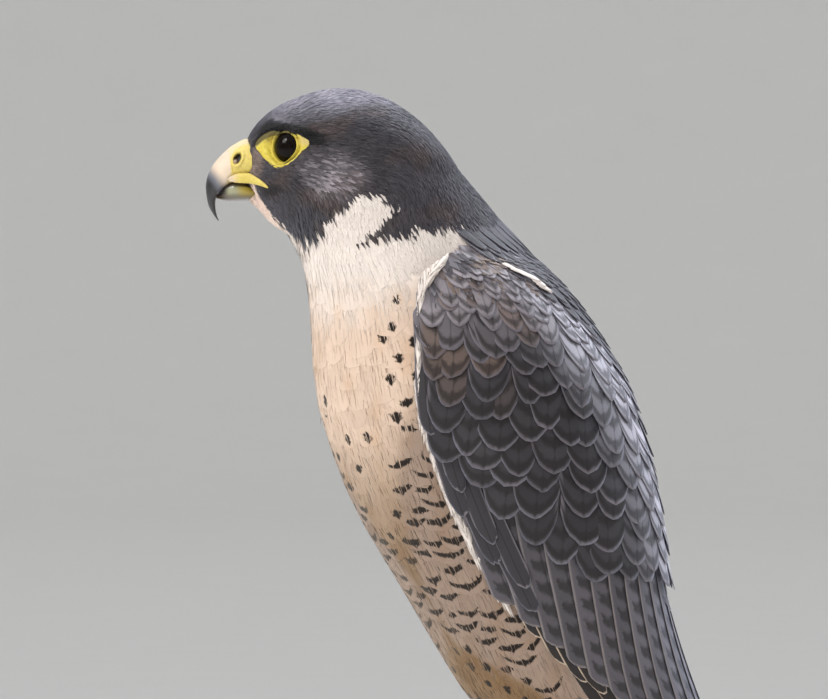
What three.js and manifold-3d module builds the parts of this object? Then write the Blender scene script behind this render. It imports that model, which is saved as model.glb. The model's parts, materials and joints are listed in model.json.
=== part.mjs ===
// A life-size adult peregrine falcon, standing still with its head turned to its right.
// Millimetres. +Z is up, the bird faces -Y, its left side is +X, and the floor is z = 0.
import * as THREE from "three";
import { mergeVertices } from "three/addons/utils/BufferGeometryUtils.js";
import Module from "manifold-3d";

const wasm = await Module();
wasm.setup();

// Driving sizes.
const GAP = 0.3; // between nodes that meet face to face
const TAIL_ROOT = { y: 58, z: 104 };
const TAIL_LEAN = THREE.MathUtils.degToRad(47); // of the tail, from the vertical
const TAIL_LENGTH = 155;
const HEAD_TURN = THREE.MathUtils.degToRad(30); // to the bird's right
const HEAD_CENTRE = new THREE.Vector3(-3, -55.4, 334.2);
const EYE = { u: 15, side: 12.4, up: 0.9, radius: 6.5 };
const VANE_THICK = 0.6;
const THIGH_END = 66; // height where the feathered thigh gives way to the bare tarsus
const FOOT_TOP = 14;
const SEED = 11;

// Colours and surfaces of the materials, as seen in daylight.
const paint = (color, roughness) => new THREE.MeshStandardMaterial({ color, roughness, metalness: 0 });
const SLATE = paint(0x4a4a52, 0.7);
const CREAM = paint(0xe6d5c2, 0.85);
const BARRED = paint(0xb9a68f, 0.85);
const YELLOW_SKIN = paint(0xd9bf3a, 0.5);
const HORN = paint(0x5d626b, 0.35);
const CLAW_BLACK = paint(0x1d1b1c, 0.35);
const EYE_BROWN = paint(0x17100c, 0.05);

// Level sections of the neck and torso, from the vent up into the head: centre y, half width and half depth.
const BODY = [
  { z: 90, y: 67, w: 5, d: 7 },
  { z: 98, y: 64, w: 13, d: 15 },
  { z: 112, y: 57, w: 23, d: 23 },
  { z: 130, y: 47, w: 31, d: 30 },
  { z: 153, y: 32, w: 38, d: 35.5 },
  { z: 186, y: 15.8, w: 46, d: 40.6 },
  { z: 219, y: 2.1, w: 52.5, d: 47.8 },
  { z: 252, y: -9.6, w: 52, d: 49.2 },
  { z: 268, y: -14.2, w: 48.5, d: 47 },
  { z: 285, y: -20.8, w: 42, d: 42.8 },
  { z: 301, y: -29.5, w: 35.5, d: 38.8 },
  { z: 309, y: -35.2, w: 32.5, d: 39 },
  { z: 317, y: -40.5, w: 29.5, d: 36 },
  { z: 330, y: -45.5, w: 25, d: 28.6 },
  { z: 342, y: -50, w: 17, d: 17 },
];

// Level sections of the form that the folded wings follow, down to their tips.
const FOLDED = [
  { z: 15, y: 160, w: 5, d: 5 },
  { z: 30, y: 146, w: 9, d: 8 },
  { z: 60, y: 117, w: 17, d: 14 },
  { z: 90, y: 89, w: 26, d: 22 },
  { z: 120, y: 61, w: 35, d: 31 },
  { z: 153, y: 35.5, w: 44, d: 39 },
  { z: 186, y: 18.3, w: 53, d: 43 },
  { z: 219, y: 4.6, w: 60, d: 50.2 },
  { z: 252, y: -7.2, w: 60, d: 51.6 },
  { z: 268, y: -12.4, w: 56, d: 48.6 },
  { z: 285, y: -19.4, w: 50, d: 44 },
  { z: 301, y: -29, w: 41, d: 38.5 },
];

// The wing's front and back edges as bearings round that form, 0 at the side and 90 at the back's middle.
const EDGES = [
  { z: 15, front: 10, back: 66 },
  { z: 60, front: -2, back: 80 },
  { z: 90, front: -12, back: 82 },
  { z: 120, front: -23, back: 84 },
  { z: 153, front: -37, back: 85 },
  { z: 186, front: -50, back: 84 },
  { z: 219, front: -53, back: 78 },
  { z: 252, front: -52, back: 62 },
  { z: 268, front: -48, back: 48 },
  { z: 285, front: -42, back: 33 },
  { z: 294, front: -30, back: 22 },
  { z: 300, front: -10, back: 12 },
];

// Upright sections of the head across its own forward line: distance forward, centre height, half height, half width.
const HEAD = [
  { z: -39, c: -9, h: 4, w: 5 },
  { z: -33, c: -7.6, h: 11, w: 13.5 },
  { z: -25, c: -5.2, h: 16.6, w: 19.5 },
  { z: -15, c: -2.2, h: 20, w: 22.6 },
  { z: -5, c: -0.7, h: 21.5, w: 23.8 },
  { z: 5, c: -0.8, h: 21.5, w: 23.4 },
  { z: 15, c: -4.4, h: 22.2, w: 21.3 },
  { z: 22, c: -4.8, h: 19.2, w: 18 },
  { z: 27.5, c: -5, h: 14.6, w: 13.2 },
  { z: 31.5, c: -5.8, h: 9.8, w: 9 },
];

// The upper bill from the forehead to the tip of the hook: ridge and cutting edge as [forward, up], and half width.
const BILL = [
  { ridge: [29, 4.2], edge: [29, -10.6], w: 9 },
  { ridge: [32, 3.7], edge: [31.4, -10.5], w: 8.7 },
  { ridge: [35, 2.1], edge: [33.5, -10.4], w: 8.1 },
  { ridge: [37, 0.7], edge: [35.2, -10.8], w: 7.3 },
  { ridge: [39.2, -1.3], edge: [36.9, -11.6], w: 6.3 },
  { ridge: [41.8, -4.3], edge: [38.4, -12.7], w: 5.3 },
  { ridge: [43.6, -7.7], edge: [39.6, -14.4], w: 4.4 },
  { ridge: [44.4, -10.9], edge: [40.4, -15], w: 3.5 },
  { ridge: [44.3, -14.4], edge: [41.2, -16.6], w: 2.6 },
  { ridge: [43.5, -18.3], edge: [41.2, -19.2], w: 1.7 },
  { ridge: [42, -21.1], edge: [40.8, -21.4], w: 0.9 },
  { ridge: [40.4, -23.2], edge: [40.1, -23.1], w: 0.3 },
];
const CERE_END = 3; // the station of BILL where the yellow cere meets the horn

// The lower bill: distance forward, top and bottom height, half width.
const LOWER_BILL = [
  { z: 26, top: -11.6, bottom: -17, w: 7.6 },
  { z: 31, top: -11, bottom: -16.9, w: 7 },
  { z: 35, top: -11.2, bottom: -16.8, w: 5.9 },
  { z: 38, top: -12.8, bottom: -16.7, w: 4.2 },
  { z: 40.3, top: -15.1, bottom: -16.5, w: 2 },
];

// Level sections of a leg, on the side of its hip: x from the middle, y, and half width and depth.
const THIGH = [
  { z: 62, x: 24, y: 31, w: 4.6, d: 5 },
  { z: 68, x: 24, y: 31, w: 6.4, d: 7 },
  { z: 82, x: 23.6, y: 30, w: 10.5, d: 12 },
  { z: 104, x: 22.5, y: 28.5, w: 13.6, d: 16.5 },
  { z: 130, x: 21.5, y: 28, w: 15.4, d: 19 },
  { z: 156, x: 20, y: 27, w: 14.5, d: 18 },
  { z: 172, x: 18, y: 24, w: 8, d: 10 },
];
const TARSUS = [
  { z: 4, x: 26, y: 9, w: 5, d: 5.6 },
  { z: 14, x: 26, y: 11.5, w: 4.3, d: 4.9 },
  { z: 30, x: 25.4, y: 18, w: 3.5, d: 4 },
  { z: 48, x: 24.6, y: 25.5, w: 3.6, d: 4.1 },
  { z: 58, x: 24.2, y: 29.4, w: 4.4, d: 5 },
  { z: 72, x: 24, y: 31, w: 4.2, d: 4.6 },
];

// Toes by bearing from straight ahead, outwards positive, with length to the claw and thickness.
const TOES = [
  { name: "inner", bearing: -38, length: 30, thick: 3.9, bulges: 2 },
  { name: "middle", bearing: 4, length: 43, thick: 3.8, bulges: 4 },
  { name: "outer", bearing: 44, length: 33, thick: 3.5, bulges: 3 },
  { name: "hind", bearing: 172, length: 21, thick: 4, bulges: 2 },
];
const FOOT_CENTRE = { x: 26, y: 8 };

// Tiers of the wing's covert and shoulder feathers: height of the tips, length down the wing,
// share of the way from the front edge to the back edge where the tier starts and ends, and how many.
const TIERS = [
  { tips: 284, length: 17, from: 0.05, to: 0.98, count: 4 },
  { tips: 270, length: 21, from: 0.03, to: 0.97, count: 5 },
  { tips: 255, length: 25, from: 0.03, to: 0.97, count: 6 },
  { tips: 238, length: 29, from: 0.04, to: 0.97, count: 6 },
  { tips: 217, length: 34, from: 0.12, to: 0.97, count: 5 },
  { tips: 194, length: 38, from: 0.3, to: 0.97, count: 4 },
];
const COVERT = { overlap: 1.24, sunk: -2.9, proud: 0.6, roll: 0.85, round: 0.5 };
const SECONDARIES = { count: 8, root: 212, drop: 3, firstTip: 181, lastTip: 122, width: 14, roll: 0.75 };
const PRIMARIES = { count: 5, root: 200, drop: 4, firstTip: 26, tipStep: 17, width: 13, lift: 1, roll: 0.4 };
const FRONT_FEATHERS = { count: 2, root: 236, firstTip: 188, tipStep: 14, width: 7, step: 0.05 };
const TAIL_FEATHERS = { pairs: 6, width: 15, step: 2.4, inner: 9, drop: 0.9, roll: 0.3 };
const RUMP_COVERTS = { count: 3, start: 6, length: 46, width: 14 };

// A seeded draw between -1 and 1.
let draws = SEED;
function jitter() {
  draws = (draws * 16807) % 2147483647;
  return (draws / 2147483647) * 2 - 1;
}

const mix = THREE.MathUtils.lerp;
const bump = (x, centre, width) => Math.exp(-(((x - centre) / width) ** 2));
const radians = THREE.MathUtils.degToRad;

// A smooth curve through one key of the stations, read at any z and held beyond both ends.
function along(stations, key) {
  const last = stations.length - 1;
  const slope = stations.map((_, i) => {
    const a = stations[Math.max(i - 1, 0)];
    const b = stations[Math.min(i + 1, last)];
    return (b[key] - a[key]) / (b.z - a.z);
  });
  return (z) => {
    let i = 0;
    while (i < last - 1 && z > stations[i + 1].z) i++;
    const a = stations[i];
    const b = stations[i + 1];
    const step = b.z - a.z;
    const t = THREE.MathUtils.clamp((z - a.z) / step, 0, 1);
    const ease = t * t * (3 - 2 * t);
    const bend = t * (1 - t) * step * ((1 - t) * slope[i] - t * slope[i + 1]);
    return mix(a[key], b[key], ease) + bend;
  };
}

const curves = (stations, ...keys) => Object.fromEntries(keys.map((key) => [key, along(stations, key)]));
const bodyAt = curves(BODY, "y", "w", "d");
const foldedAt = curves(FOLDED, "y", "w", "d");
const edgeAt = curves(EDGES, "front", "back");

// Evenly spaced numbers from a to b, both included.
const steps = (a, b, count) => Array.from({ length: count }, (_, i) => mix(a, b, i / (count - 1)));

// Geometry from points and triangles, turned to face out.
function closed(points, triangles) {
  let volume = 0;
  for (const [a, b, c] of triangles) {
    volume += points[a].dot(new THREE.Vector3().crossVectors(points[b], points[c]));
  }
  const faces = volume < 0 ? triangles.map(([a, b, c]) => [a, c, b]) : triangles;
  const geometry = new THREE.BufferGeometry().setFromPoints(points);
  return geometry.setIndex(faces.flat());
}

// A closed tube through rings of equally many points, with a fan at each end.
function loft(rings) {
  const n = rings[0].length;
  const points = rings.flat();
  const triangles = [];
  for (let r = 0; r < rings.length - 1; r++) {
    for (let k = 0; k < n; k++) {
      const a = r * n + k;
      const b = r * n + ((k + 1) % n);
      triangles.push([a, b, a + n], [b, b + n, a + n]);
    }
  }
  for (const [first, ring, turned] of [[0, rings[0], true], [points.length - n, rings.at(-1), false]]) {
    const centre = ring.reduce((sum, p) => sum.add(p), new THREE.Vector3()).divideScalar(n);
    const hub = points.push(centre) - 1;
    for (let k = 0; k < n; k++) {
      const a = first + k;
      const b = first + ((k + 1) % n);
      triangles.push(turned ? [b, a, hub] : [a, b, hub]);
    }
  }
  return closed(points, triangles);
}

// A closed slab between an outer and an inner grid of points of the same size.
function slab(outer, inner) {
  const rows = outer.length;
  const cols = outer[0].length;
  const points = [...outer.flat(), ...inner.flat()];
  const under = rows * cols;
  const triangles = [];
  const quad = (a, b, c, d) => triangles.push([a, b, c], [a, c, d]);
  for (let r = 0; r < rows - 1; r++) {
    for (let c = 0; c < cols - 1; c++) {
      const a = r * cols + c;
      const b = under + a;
      quad(a, a + 1, a + cols + 1, a + cols);
      // The lower face is split along the same diagonal as the upper one.
      triangles.push([b, b + cols + 1, b + 1], [b, b + cols, b + cols + 1]);
    }
  }
  const rim = [];
  for (let c = 0; c < cols - 1; c++) rim.push([c, c + 1]);
  for (let r = 0; r < rows - 1; r++) rim.push([r * cols + cols - 1, (r + 1) * cols + cols - 1]);
  for (let c = cols - 1; c > 0; c--) rim.push([(rows - 1) * cols + c, (rows - 1) * cols + c - 1]);
  for (let r = rows - 1; r > 0; r--) rim.push([r * cols, (r - 1) * cols]);
  for (const [a, b] of rim) quad(b, a, under + a, under + b);
  return closed(points, triangles);
}

// The solid of a closed geometry, and the geometry of a solid.
function solid(geometry) {
  const bare = new THREE.BufferGeometry().setAttribute("position", geometry.getAttribute("position"));
  bare.setIndex(geometry.index);
  const merged = mergeVertices(bare, 1e-4);
  return new wasm.Manifold(
    new wasm.Mesh({
      numProp: 3,
      vertProperties: merged.attributes.position.array,
      triVerts: new Uint32Array(merged.index.array),
    }),
  );
}
function geometryOf(shape) {
  const mesh = shape.getMesh();
  return new THREE.BufferGeometry()
    .setAttribute("position", new THREE.BufferAttribute(mesh.vertProperties, 3))
    .setIndex(new THREE.BufferAttribute(mesh.triVerts, 1));
}
const joined = (shapes) => shapes.reduce((sum, shape) => sum.add(shape));
const largest = (shape) => shape.decompose().reduce((a, b) => (a.volume() > b.volume() ? a : b));

// Keeps what lies on the normal's side of the plane through a point.
function keep(shape, normal, point) {
  const n = normal.clone().normalize();
  return shape.trimByPlane(n.toArray(), n.dot(point));
}

// A level ring of an upright form, grown outwards by a distance.
function levelRing(form, z, count, grow = 0, x = 0) {
  return steps(0, 2 * Math.PI, count + 1).slice(0, count).map((a) => {
    const across = (form.w(z) + grow) * Math.cos(a);
    return new THREE.Vector3(x + across, form.y(z) + (form.d(z) + grow) * Math.sin(a), z);
  });
}

// Neck and torso in one piece, so that every neighbour can be cut back from the same form.
function bodyForm(grow = 0) {
  const heights = steps(BODY[0].z - grow, BODY.at(-1).z + grow, 20);
  return solid(loft(heights.map((z) => levelRing(bodyAt, z, 26, grow))));
}

// From the head's own directions, forward, to its left and up, to a place on the bird.
function headPlace(forward, left, up) {
  const ahead = new THREE.Vector3(-Math.sin(HEAD_TURN), -Math.cos(HEAD_TURN), 0);
  const aside = new THREE.Vector3(Math.cos(HEAD_TURN), -Math.sin(HEAD_TURN), 0);
  return HEAD_CENTRE.clone().addScaledVector(ahead, forward).addScaledVector(aside, left).add(new THREE.Vector3(0, 0, up));
}

// How far the head's side swells or sinks at a place: brow, eye socket, lore and cheek.
function headRelief(forward, up) {
  const brow = 2.3 * bump(up, 7.2 + 0.08 * (forward - 18), 2.6) * bump(forward, 18.5, 9);
  const socket = -2.9 * bump(up, 0.2, 5) * bump(forward, 18.5, 7);
  const lore = -1.6 * bump(up, -2, 5) * bump(forward, 27, 3.5);
  const cheek = 1.4 * bump(up, -10, 7) * bump(forward, 8, 9);
  return brow + socket + lore + cheek;
}

function headForm(grow = 0) {
  const at = curves(HEAD, "c", "h", "w");
  const places = steps(HEAD[0].z, HEAD.at(-1).z, 19);
  return solid(loft(places.map((forward) =>
    steps(0, 2 * Math.PI, 27).slice(0, 26).map((a) => {
      const up = at.c(forward) + (at.h(forward) + grow) * Math.sin(a);
      const side = (at.w(forward) + grow) * Math.cos(a);
      const flank = Math.sign(side) * headRelief(forward, up) * Math.min(1, Math.abs(Math.cos(a)) * 1.6);
      return headPlace(forward, side + flank, up);
    }))));
}

// Round or pointed ring across the bill between its ridge and its cutting edge.
function billRing({ ridge, edge, w }, grow = 0) {
  return steps(0, 2 * Math.PI, 17).slice(0, 16).map((a) => {
    const t = 0.5 + 0.5 * Math.sin(a);
    const narrow = 1 - 0.22 * Math.sin(a);
    return headPlace(mix(edge[0], ridge[0], t), (w + grow) * Math.cos(a) * narrow, mix(edge[1], ridge[1], t));
  });
}

// A station of the bill part of the way to the next one.
function between(stations, place) {
  const i = Math.min(Math.floor(place), stations.length - 2);
  const t = place - i;
  const [a, b] = [stations[i], stations[i + 1]];
  const pair = (key) => [mix(a[key][0], b[key][0], t), mix(a[key][1], b[key][1], t)];
  return { ridge: pair("ridge"), edge: pair("edge"), w: mix(a.w, b.w, t) };
}

function cereAndBill() {
  const swell = 0.35;
  const cereStations = steps(0, CERE_END - 0.08, 5).map((place) => between(BILL, place));
  const hornStations = [between(BILL, CERE_END + 0.08), ...BILL.slice(CERE_END + 1)];
  let cere = solid(loft(cereStations.map((station) => billRing(station, swell))));
  for (const side of [1, -1]) cere = cere.subtract(nostril(side));
  return { cere, horn: solid(loft(hornStations.map((station) => billRing(station)))) };
}

// A round nostril with the small knob that stands in a falcon's.
function nostril(side) {
  const radius = 1.7;
  const depth = 2.2;
  const place = (across) => headPlace(34, side * across, -2.6);
  const hole = new THREE.CylinderGeometry(radius, radius, 2 * depth, 10);
  const knob = new THREE.CylinderGeometry(0.4, 0.7, depth, 6);
  const turn = new THREE.Quaternion().setFromUnitVectors(
    new THREE.Vector3(0, 1, 0),
    headPlace(0, side, 0).sub(headPlace(0, 0, 0)),
  );
  const placed = (geometry, across) => {
    const at = place(across);
    return solid(geometry.applyQuaternion(turn).translate(at.x, at.y, at.z));
  };
  return placed(hole, 8).subtract(placed(knob, 6.4));
}

function lowerBill() {
  const rings = LOWER_BILL.map(({ z, top, bottom, w }) =>
    steps(0, 2 * Math.PI, 15).slice(0, 14).map((a) => {
      const flat = Math.sin(a) > 0 ? 0.5 : 1;
      const up = mix(bottom, top, 0.5) + 0.5 * (top - bottom) * Math.sign(Math.sin(a)) * Math.abs(Math.sin(a)) ** flat;
      return headPlace(z, w * Math.cos(a), up);
    }));
  return solid(loft(rings));
}

// Where an eye sits, and the way that it looks.
const eyePlace = (side) => headPlace(EYE.u, side * EYE.side, EYE.up);
function eyeLook(side) {
  return headPlace(0.62, side * 0.78, 0.03).sub(HEAD_CENTRE).normalize();
}
function eyeball(side, grow = 0) {
  const at = eyePlace(side);
  return solid(new THREE.SphereGeometry(EYE.radius + grow, 14, 8).translate(at.x, at.y, at.z));
}

// The bare rim of the lids, and the opening between them.
function lids(side) {
  const look = eyeLook(side);
  const turn = new THREE.Matrix4().lookAt(look, new THREE.Vector3(), new THREE.Vector3(0, 0, 1));
  const placed = (geometry, out) => {
    const at = eyePlace(side).addScaledVector(look, out);
    return solid(geometry.applyMatrix4(turn).translate(at.x, at.y, at.z));
  };
  const rim = new THREE.TorusGeometry(5.5, 0.95, 5, 16).scale(1.04, 1, 1);
  const opening = new THREE.CylinderGeometry(7.2, 4.5, 6, 16).rotateX(Math.PI / 2);
  return { rim: placed(rim, 4.5), opening: placed(opening, 7.6) };
}

// Head, neck and torso are one form, parted by thin cuts.
function headNeckTorso() {
  const whole = bodyForm().add(headForm());
  const headCut = { normal: new THREE.Vector3(0.12, -0.42, 1), point: new THREE.Vector3(0, -42, 311) };
  const neckCut = { normal: new THREE.Vector3(0, -0.3, 1), point: new THREE.Vector3(0, -22, 287) };
  const split = (shape, cut, side) => {
    const normal = cut.normal.clone().normalize().multiplyScalar(side);
    return keep(shape, normal, cut.point.clone().addScaledVector(normal, GAP / 2));
  };
  let head = split(whole, headCut, 1);
  const neck = split(split(whole, headCut, -1), neckCut, 1);
  const torso = split(whole, neckCut, -1);
  for (const side of [1, -1]) {
    const { rim, opening } = lids(side);
    head = head.subtract(opening).add(rim).subtract(eyeball(side, GAP));
  }
  // The bill's own shape is cut out of the face, and a slit runs back to the corners of the mouth.
  const socket = solid(loft(BILL.slice(0, CERE_END).map((station) => billRing(station, 0.35 + GAP))));
  const jaw = solid(loft(LOWER_BILL.map(({ z, top, bottom, w }) =>
    [[-1, -1], [1, -1], [1, 1], [-1, 1]].map(([across, up]) =>
      headPlace(z, across * (w + GAP), up > 0 ? top + 1 : bottom - GAP)))));
  const mouth = solid(loft([23.5, 30].map((forward) =>
    [[-1, -1], [1, -1], [1, 1], [-1, 1]].map(([across, up]) => headPlace(forward, across * 22, -12 + up * 0.35)))));
  head = largest(head.subtract(socket).subtract(jaw).subtract(mouth));
  return { head, neck: largest(neck), torso };
}

// A place on the folded wing's form: height, bearing in degrees, and how far proud of it.
function onWing(z, bearing, proud) {
  const a = radians(bearing);
  const x = (foldedAt.w(z) + proud) * Math.cos(a);
  return new THREE.Vector3(x, foldedAt.y(z) + (foldedAt.d(z) + proud) * Math.sin(a), z);
}
const mirrored = (point, side) => new THREE.Vector3(point.x * side, point.y, point.z);
const bearingAt = (z, share) => mix(edgeAt.front(z), edgeAt.back(z), share);

// Millimetres round the form for one degree of bearing.
function degreeLength(z, bearing) {
  return onWing(z, bearing - 0.5, 0).distanceTo(onWing(z, bearing + 0.5, 0));
}

// How wide a feather is along its length, as a share of its full width.
function vaneWidth(t, pointed) {
  const base = 0.55 + 0.45 * Math.min(1, t / 0.35);
  const past = Math.max(0, (t - 1 + pointed) / pointed);
  return base * Math.sqrt(Math.max(0, 1 - past * past));
}

// One feather as a thin curved slab. place(t, across) is on the middle of the vane's thickness, with t from
// root to tip and across from -1 to 1 between its edges, and outward(t) is the way that its face looks.
// A small feather has no ridge down its middle.
function feather(place, outward, { rows, pointed, ridge = true }) {
  const marks = [...steps(0, 1 - pointed, rows - 2), 1 - pointed * 0.45, 0.985];
  const columns = ridge ? [-1, 0, 1] : [-1, 1];
  const face = (way) => marks.map((t) =>
    columns.map((across) => {
      const half = (VANE_THICK / 2) * (across ? 0.85 : 1);
      return place(t, across * vaneWidth(t, pointed)).addScaledVector(outward(t), way * half);
    }));
  return solid(slab(face(1), face(-1)));
}

// A feather laid down the wing. root and tip each hold a height z, a share of the wing's width and proud.
function wingFeather(side, { root, tip, width, roll, ...shape }) {
  const middle = (t) => {
    const bearing = mix(bearingAt(root.z, root.share), bearingAt(tip.z, tip.share), t);
    return { z: mix(root.z, tip.z, t), bearing };
  };
  const place = (t, across) => {
    const { z, bearing } = middle(t);
    const turn = (across * width) / 2 / degreeLength(z, bearing);
    return mirrored(onWing(z, bearing + turn, mix(root.proud, tip.proud, t) - across * roll), side);
  };
  const outward = (t) => {
    const { z, bearing } = middle(t);
    return mirrored(onWing(z, bearing, 1).sub(onWing(z, bearing, 0)), side).normalize();
  };
  return feather(place, outward, shape);
}

// The wing's arm and hand, with the piled bases of its feathers.
function wingCore(side) {
  const heights = [299, 293, 282, 262, 236, 208, 180, 160];
  const shares = [0.02, 0.12, 0.34, 0.6, 0.84, 0.98];
  const grid = (depth) => heights.map((z) => shares.map((share) => {
    const rim = share < 0.05 || share > 0.95 ? -0.8 : 0;
    return mirrored(onWing(z, bearingAt(z, share), depth + rim), side);
  }));
  return solid(slab(grid(-1.8), grid(-12)));
}

function covertFeathers(side) {
  const { overlap, sunk, proud, roll, round } = COVERT;
  return TIERS.flatMap(({ tips, length, from, to, count }) => {
    const room = (to - from) / count;
    return steps(from + room / 2, to - room / 2, count).map((share) => {
      const tipZ = tips + jitter();
      const around = (edgeAt.back(tips) - edgeAt.front(tips)) * degreeLength(tips, bearingAt(tips, share));
      const root = { z: Math.min(tips + length, 298), share, proud: sunk };
      const width = overlap * room * around;
      const tip = { z: tipZ, share, proud };
      return wingFeather(side, { root, tip, width, roll, rows: 4, pointed: round });
    });
  });
}

// The secondaries and, nearest the back, the tertials: each lies over the one in front of it.
function secondaries(side) {
  const { count, root, drop, firstTip, lastTip, width, roll } = SECONDARIES;
  return steps(0, 1, count).map((place, i) => wingFeather(side, {
    root: { z: root - i * drop, share: mix(0.16, 0.93, place), proud: -3.2 },
    tip: { z: mix(firstTip, lastTip, place ** 0.9), share: mix(0.1, 0.93, place), proud: -0.5 },
    width,
    roll,
    rows: 5,
    pointed: 0.26,
  }));
}

// The long primaries come out from under the secondaries, the longest in front and deepest.
function primaries(side) {
  const { count, root, drop, firstTip, tipStep, width, lift, roll } = PRIMARIES;
  return steps(0, 1, count).map((place, i) => wingFeather(side, {
    root: { z: root - i * drop, share: mix(0.08, 0.36, place), proud: -4.4 },
    tip: { z: firstTip + i * tipStep, share: mix(0.12, 0.72, place), proud: lift * (i + 1 - count) - 1 },
    width,
    roll,
    rows: 6,
    pointed: 0.24,
  }));
}

// The narrow feathers of the thumb and hand along the front edge.
function frontFeathers(side) {
  const { count, root, firstTip, tipStep, width, step } = FRONT_FEATHERS;
  return steps(0, count - 1, count).map((i) => wingFeather(side, {
    root: { z: root - i * 3, share: 0.04 + i * step, proud: -3 },
    tip: { z: firstTip + i * tipStep, share: 0.04 + i * step, proud: -0.3 },
    width,
    roll: 0.5,
    rows: 4,
    pointed: 0.3,
  }));
}

function wing(side, body) {
  const core = wingCore(side);
  const feathers = [primaries, secondaries, frontFeathers, covertFeathers].flatMap((kind) => kind(side));
  const whole = joined([core, ...feathers]).subtract(body);
  return largest(keep(whole, new THREE.Vector3(side, 0, 0), new THREE.Vector3(side * GAP, 0, 0)));
}

// A place on the tail: how far down it, across to the left, and proud of its middle plane.
function onTail(down, across, proud) {
  const y = TAIL_ROOT.y + down * Math.sin(TAIL_LEAN) + proud * Math.cos(TAIL_LEAN);
  return new THREE.Vector3(across, y, TAIL_ROOT.z - down * Math.cos(TAIL_LEAN) + proud * Math.sin(TAIL_LEAN));
}

const tailOutward = () => onTail(0, 0, 1).sub(onTail(0, 0, 0));

// Of the closed tail's feathers the middle pair lies on top and each next pair deeper and further out.
function tailFeather(side, pair) {
  const { width, step, inner, drop, roll } = TAIL_FEATHERS;
  const middlePair = pair === 0;
  const centre = middlePair ? 0.7 : inner + step * (pair - 1);
  const level = middlePair ? 1.2 + 0.5 * side : -drop * pair;
  const place = (t, across) => {
    const open = mix(0.8, 1, t);
    const tilt = middlePair ? 0 : -across * roll;
    return onTail(t * (TAIL_LENGTH - 1.6 * pair), side * (centre * open + (across * width) / 2), open * (level + tilt));
  };
  return feather(place, tailOutward, { rows: 5, pointed: 0.12 });
}

function tailBase() {
  const stations = [
    { z: -16, w: 13, d: 9 },
    { z: 10, w: 14.5, d: 8.5 },
    { z: 34, w: 13, d: 5.4 },
    { z: 56, w: 9, d: 2.6 },
  ];
  return solid(loft(stations.map(({ z, w, d }) =>
    steps(0, 2 * Math.PI, 17).slice(0, 16).map((a) => onTail(z, w * Math.cos(a), d * Math.sin(a))))));
}

// The longer feathers that lie from the rump over the roots of the tail.
function rumpCoverts() {
  const { count, start, length, width } = RUMP_COVERTS;
  return steps(-1, 1, count).map((place) => {
    const at = (t, across) => onTail(start + t * length, place * 9 + (across * width) / 2, mix(6.4, 4.2, t) - 0.6 * across);
    return feather(at, tailOutward, { rows: 4, pointed: 0.4, ridge: false });
  });
}

function tail(body) {
  const pairs = steps(0, TAIL_FEATHERS.pairs - 1, TAIL_FEATHERS.pairs);
  const feathers = pairs.flatMap((pair) => [1, -1].map((side) => tailFeather(side, pair)));
  const whole = joined([tailBase(), ...feathers, ...rumpCoverts()]).subtract(body);
  return largest(keep(whole, new THREE.Vector3(0, 0, 1), new THREE.Vector3()));
}

// A direction over the floor by its bearing from straight ahead, outwards positive.
function heading(side, bearing) {
  const a = radians(bearing);
  return new THREE.Vector3(side * Math.sin(a), -Math.cos(a), 0);
}

function toe(side, { bearing, length, thick, bulges }) {
  const ahead = heading(side, bearing);
  const across = new THREE.Vector3(-ahead.y, ahead.x, 0);
  const rings = steps(-2, length, 2 * bulges + 3).map((reach) => {
    const t = Math.max(0, reach / length);
    const pad = 1 + 0.09 * Math.cos(2 * Math.PI * bulges * t + Math.PI);
    const r = thick * mix(1.08, 0.8, t) * pad;
    const centre = new THREE.Vector3(side * FOOT_CENTRE.x, FOOT_CENTRE.y, r * 0.94 + 2.2 * bump(t, 0, 0.3)).addScaledVector(ahead, reach);
    return steps(0, 2 * Math.PI, 9).slice(0, 8).map((a) =>
      centre.clone().addScaledVector(across, r * Math.cos(a)).add(new THREE.Vector3(0, 0, r * Math.sin(a))));
  });
  return solid(loft(rings));
}

// A talon: it leaves the toe's end, rises a little and curves down to a point at the floor.
function talon(side, { bearing, length, thick, name }) {
  const ahead = heading(side, bearing);
  const across = new THREE.Vector3(-ahead.y, ahead.x, 0);
  const size = name === "hind" || name === "inner" ? 1.12 : 0.95;
  const arc = 8.4 * size;
  const root = new THREE.Vector3(side * FOOT_CENTRE.x, FOOT_CENTRE.y, thick * 0.95).addScaledVector(ahead, length - 0.6);
  const rings = steps(0, 1, 5).map((t) => {
    const turn = mix(radians(28), radians(-66), t);
    const start = radians(28);
    const centre = root.clone().addScaledVector(ahead, arc * (Math.sin(start) - Math.sin(turn)) * 0.92);
    centre.z += arc * (Math.cos(turn) - Math.cos(start)) * (turn < 0 ? 0.86 : 1);
    const r = thick * 0.62 * (1 - t) ** 0.75 + 0.22;
    const up = new THREE.Vector3(0, 0, Math.cos(turn)).addScaledVector(ahead, -Math.sin(turn));
    return steps(0, 2 * Math.PI, 7).slice(0, 6).map((a) =>
      centre.clone().addScaledVector(across, 0.8 * r * Math.cos(a)).addScaledVector(up, r * Math.sin(a)));
  });
  return keep(solid(loft(rings)), ahead, root.addScaledVector(ahead, 0.6 + GAP));
}

// A level loft of a leg's stations on one side.
function legPart(side, stations, rows, count, grow = 0) {
  const at = curves(stations, "x", "y", "w", "d");
  const heights = steps(stations[0].z, stations.at(-1).z, rows);
  return solid(loft(heights.map((z) => levelRing(at, z, count, grow, side * at.x(z)))));
}

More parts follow.
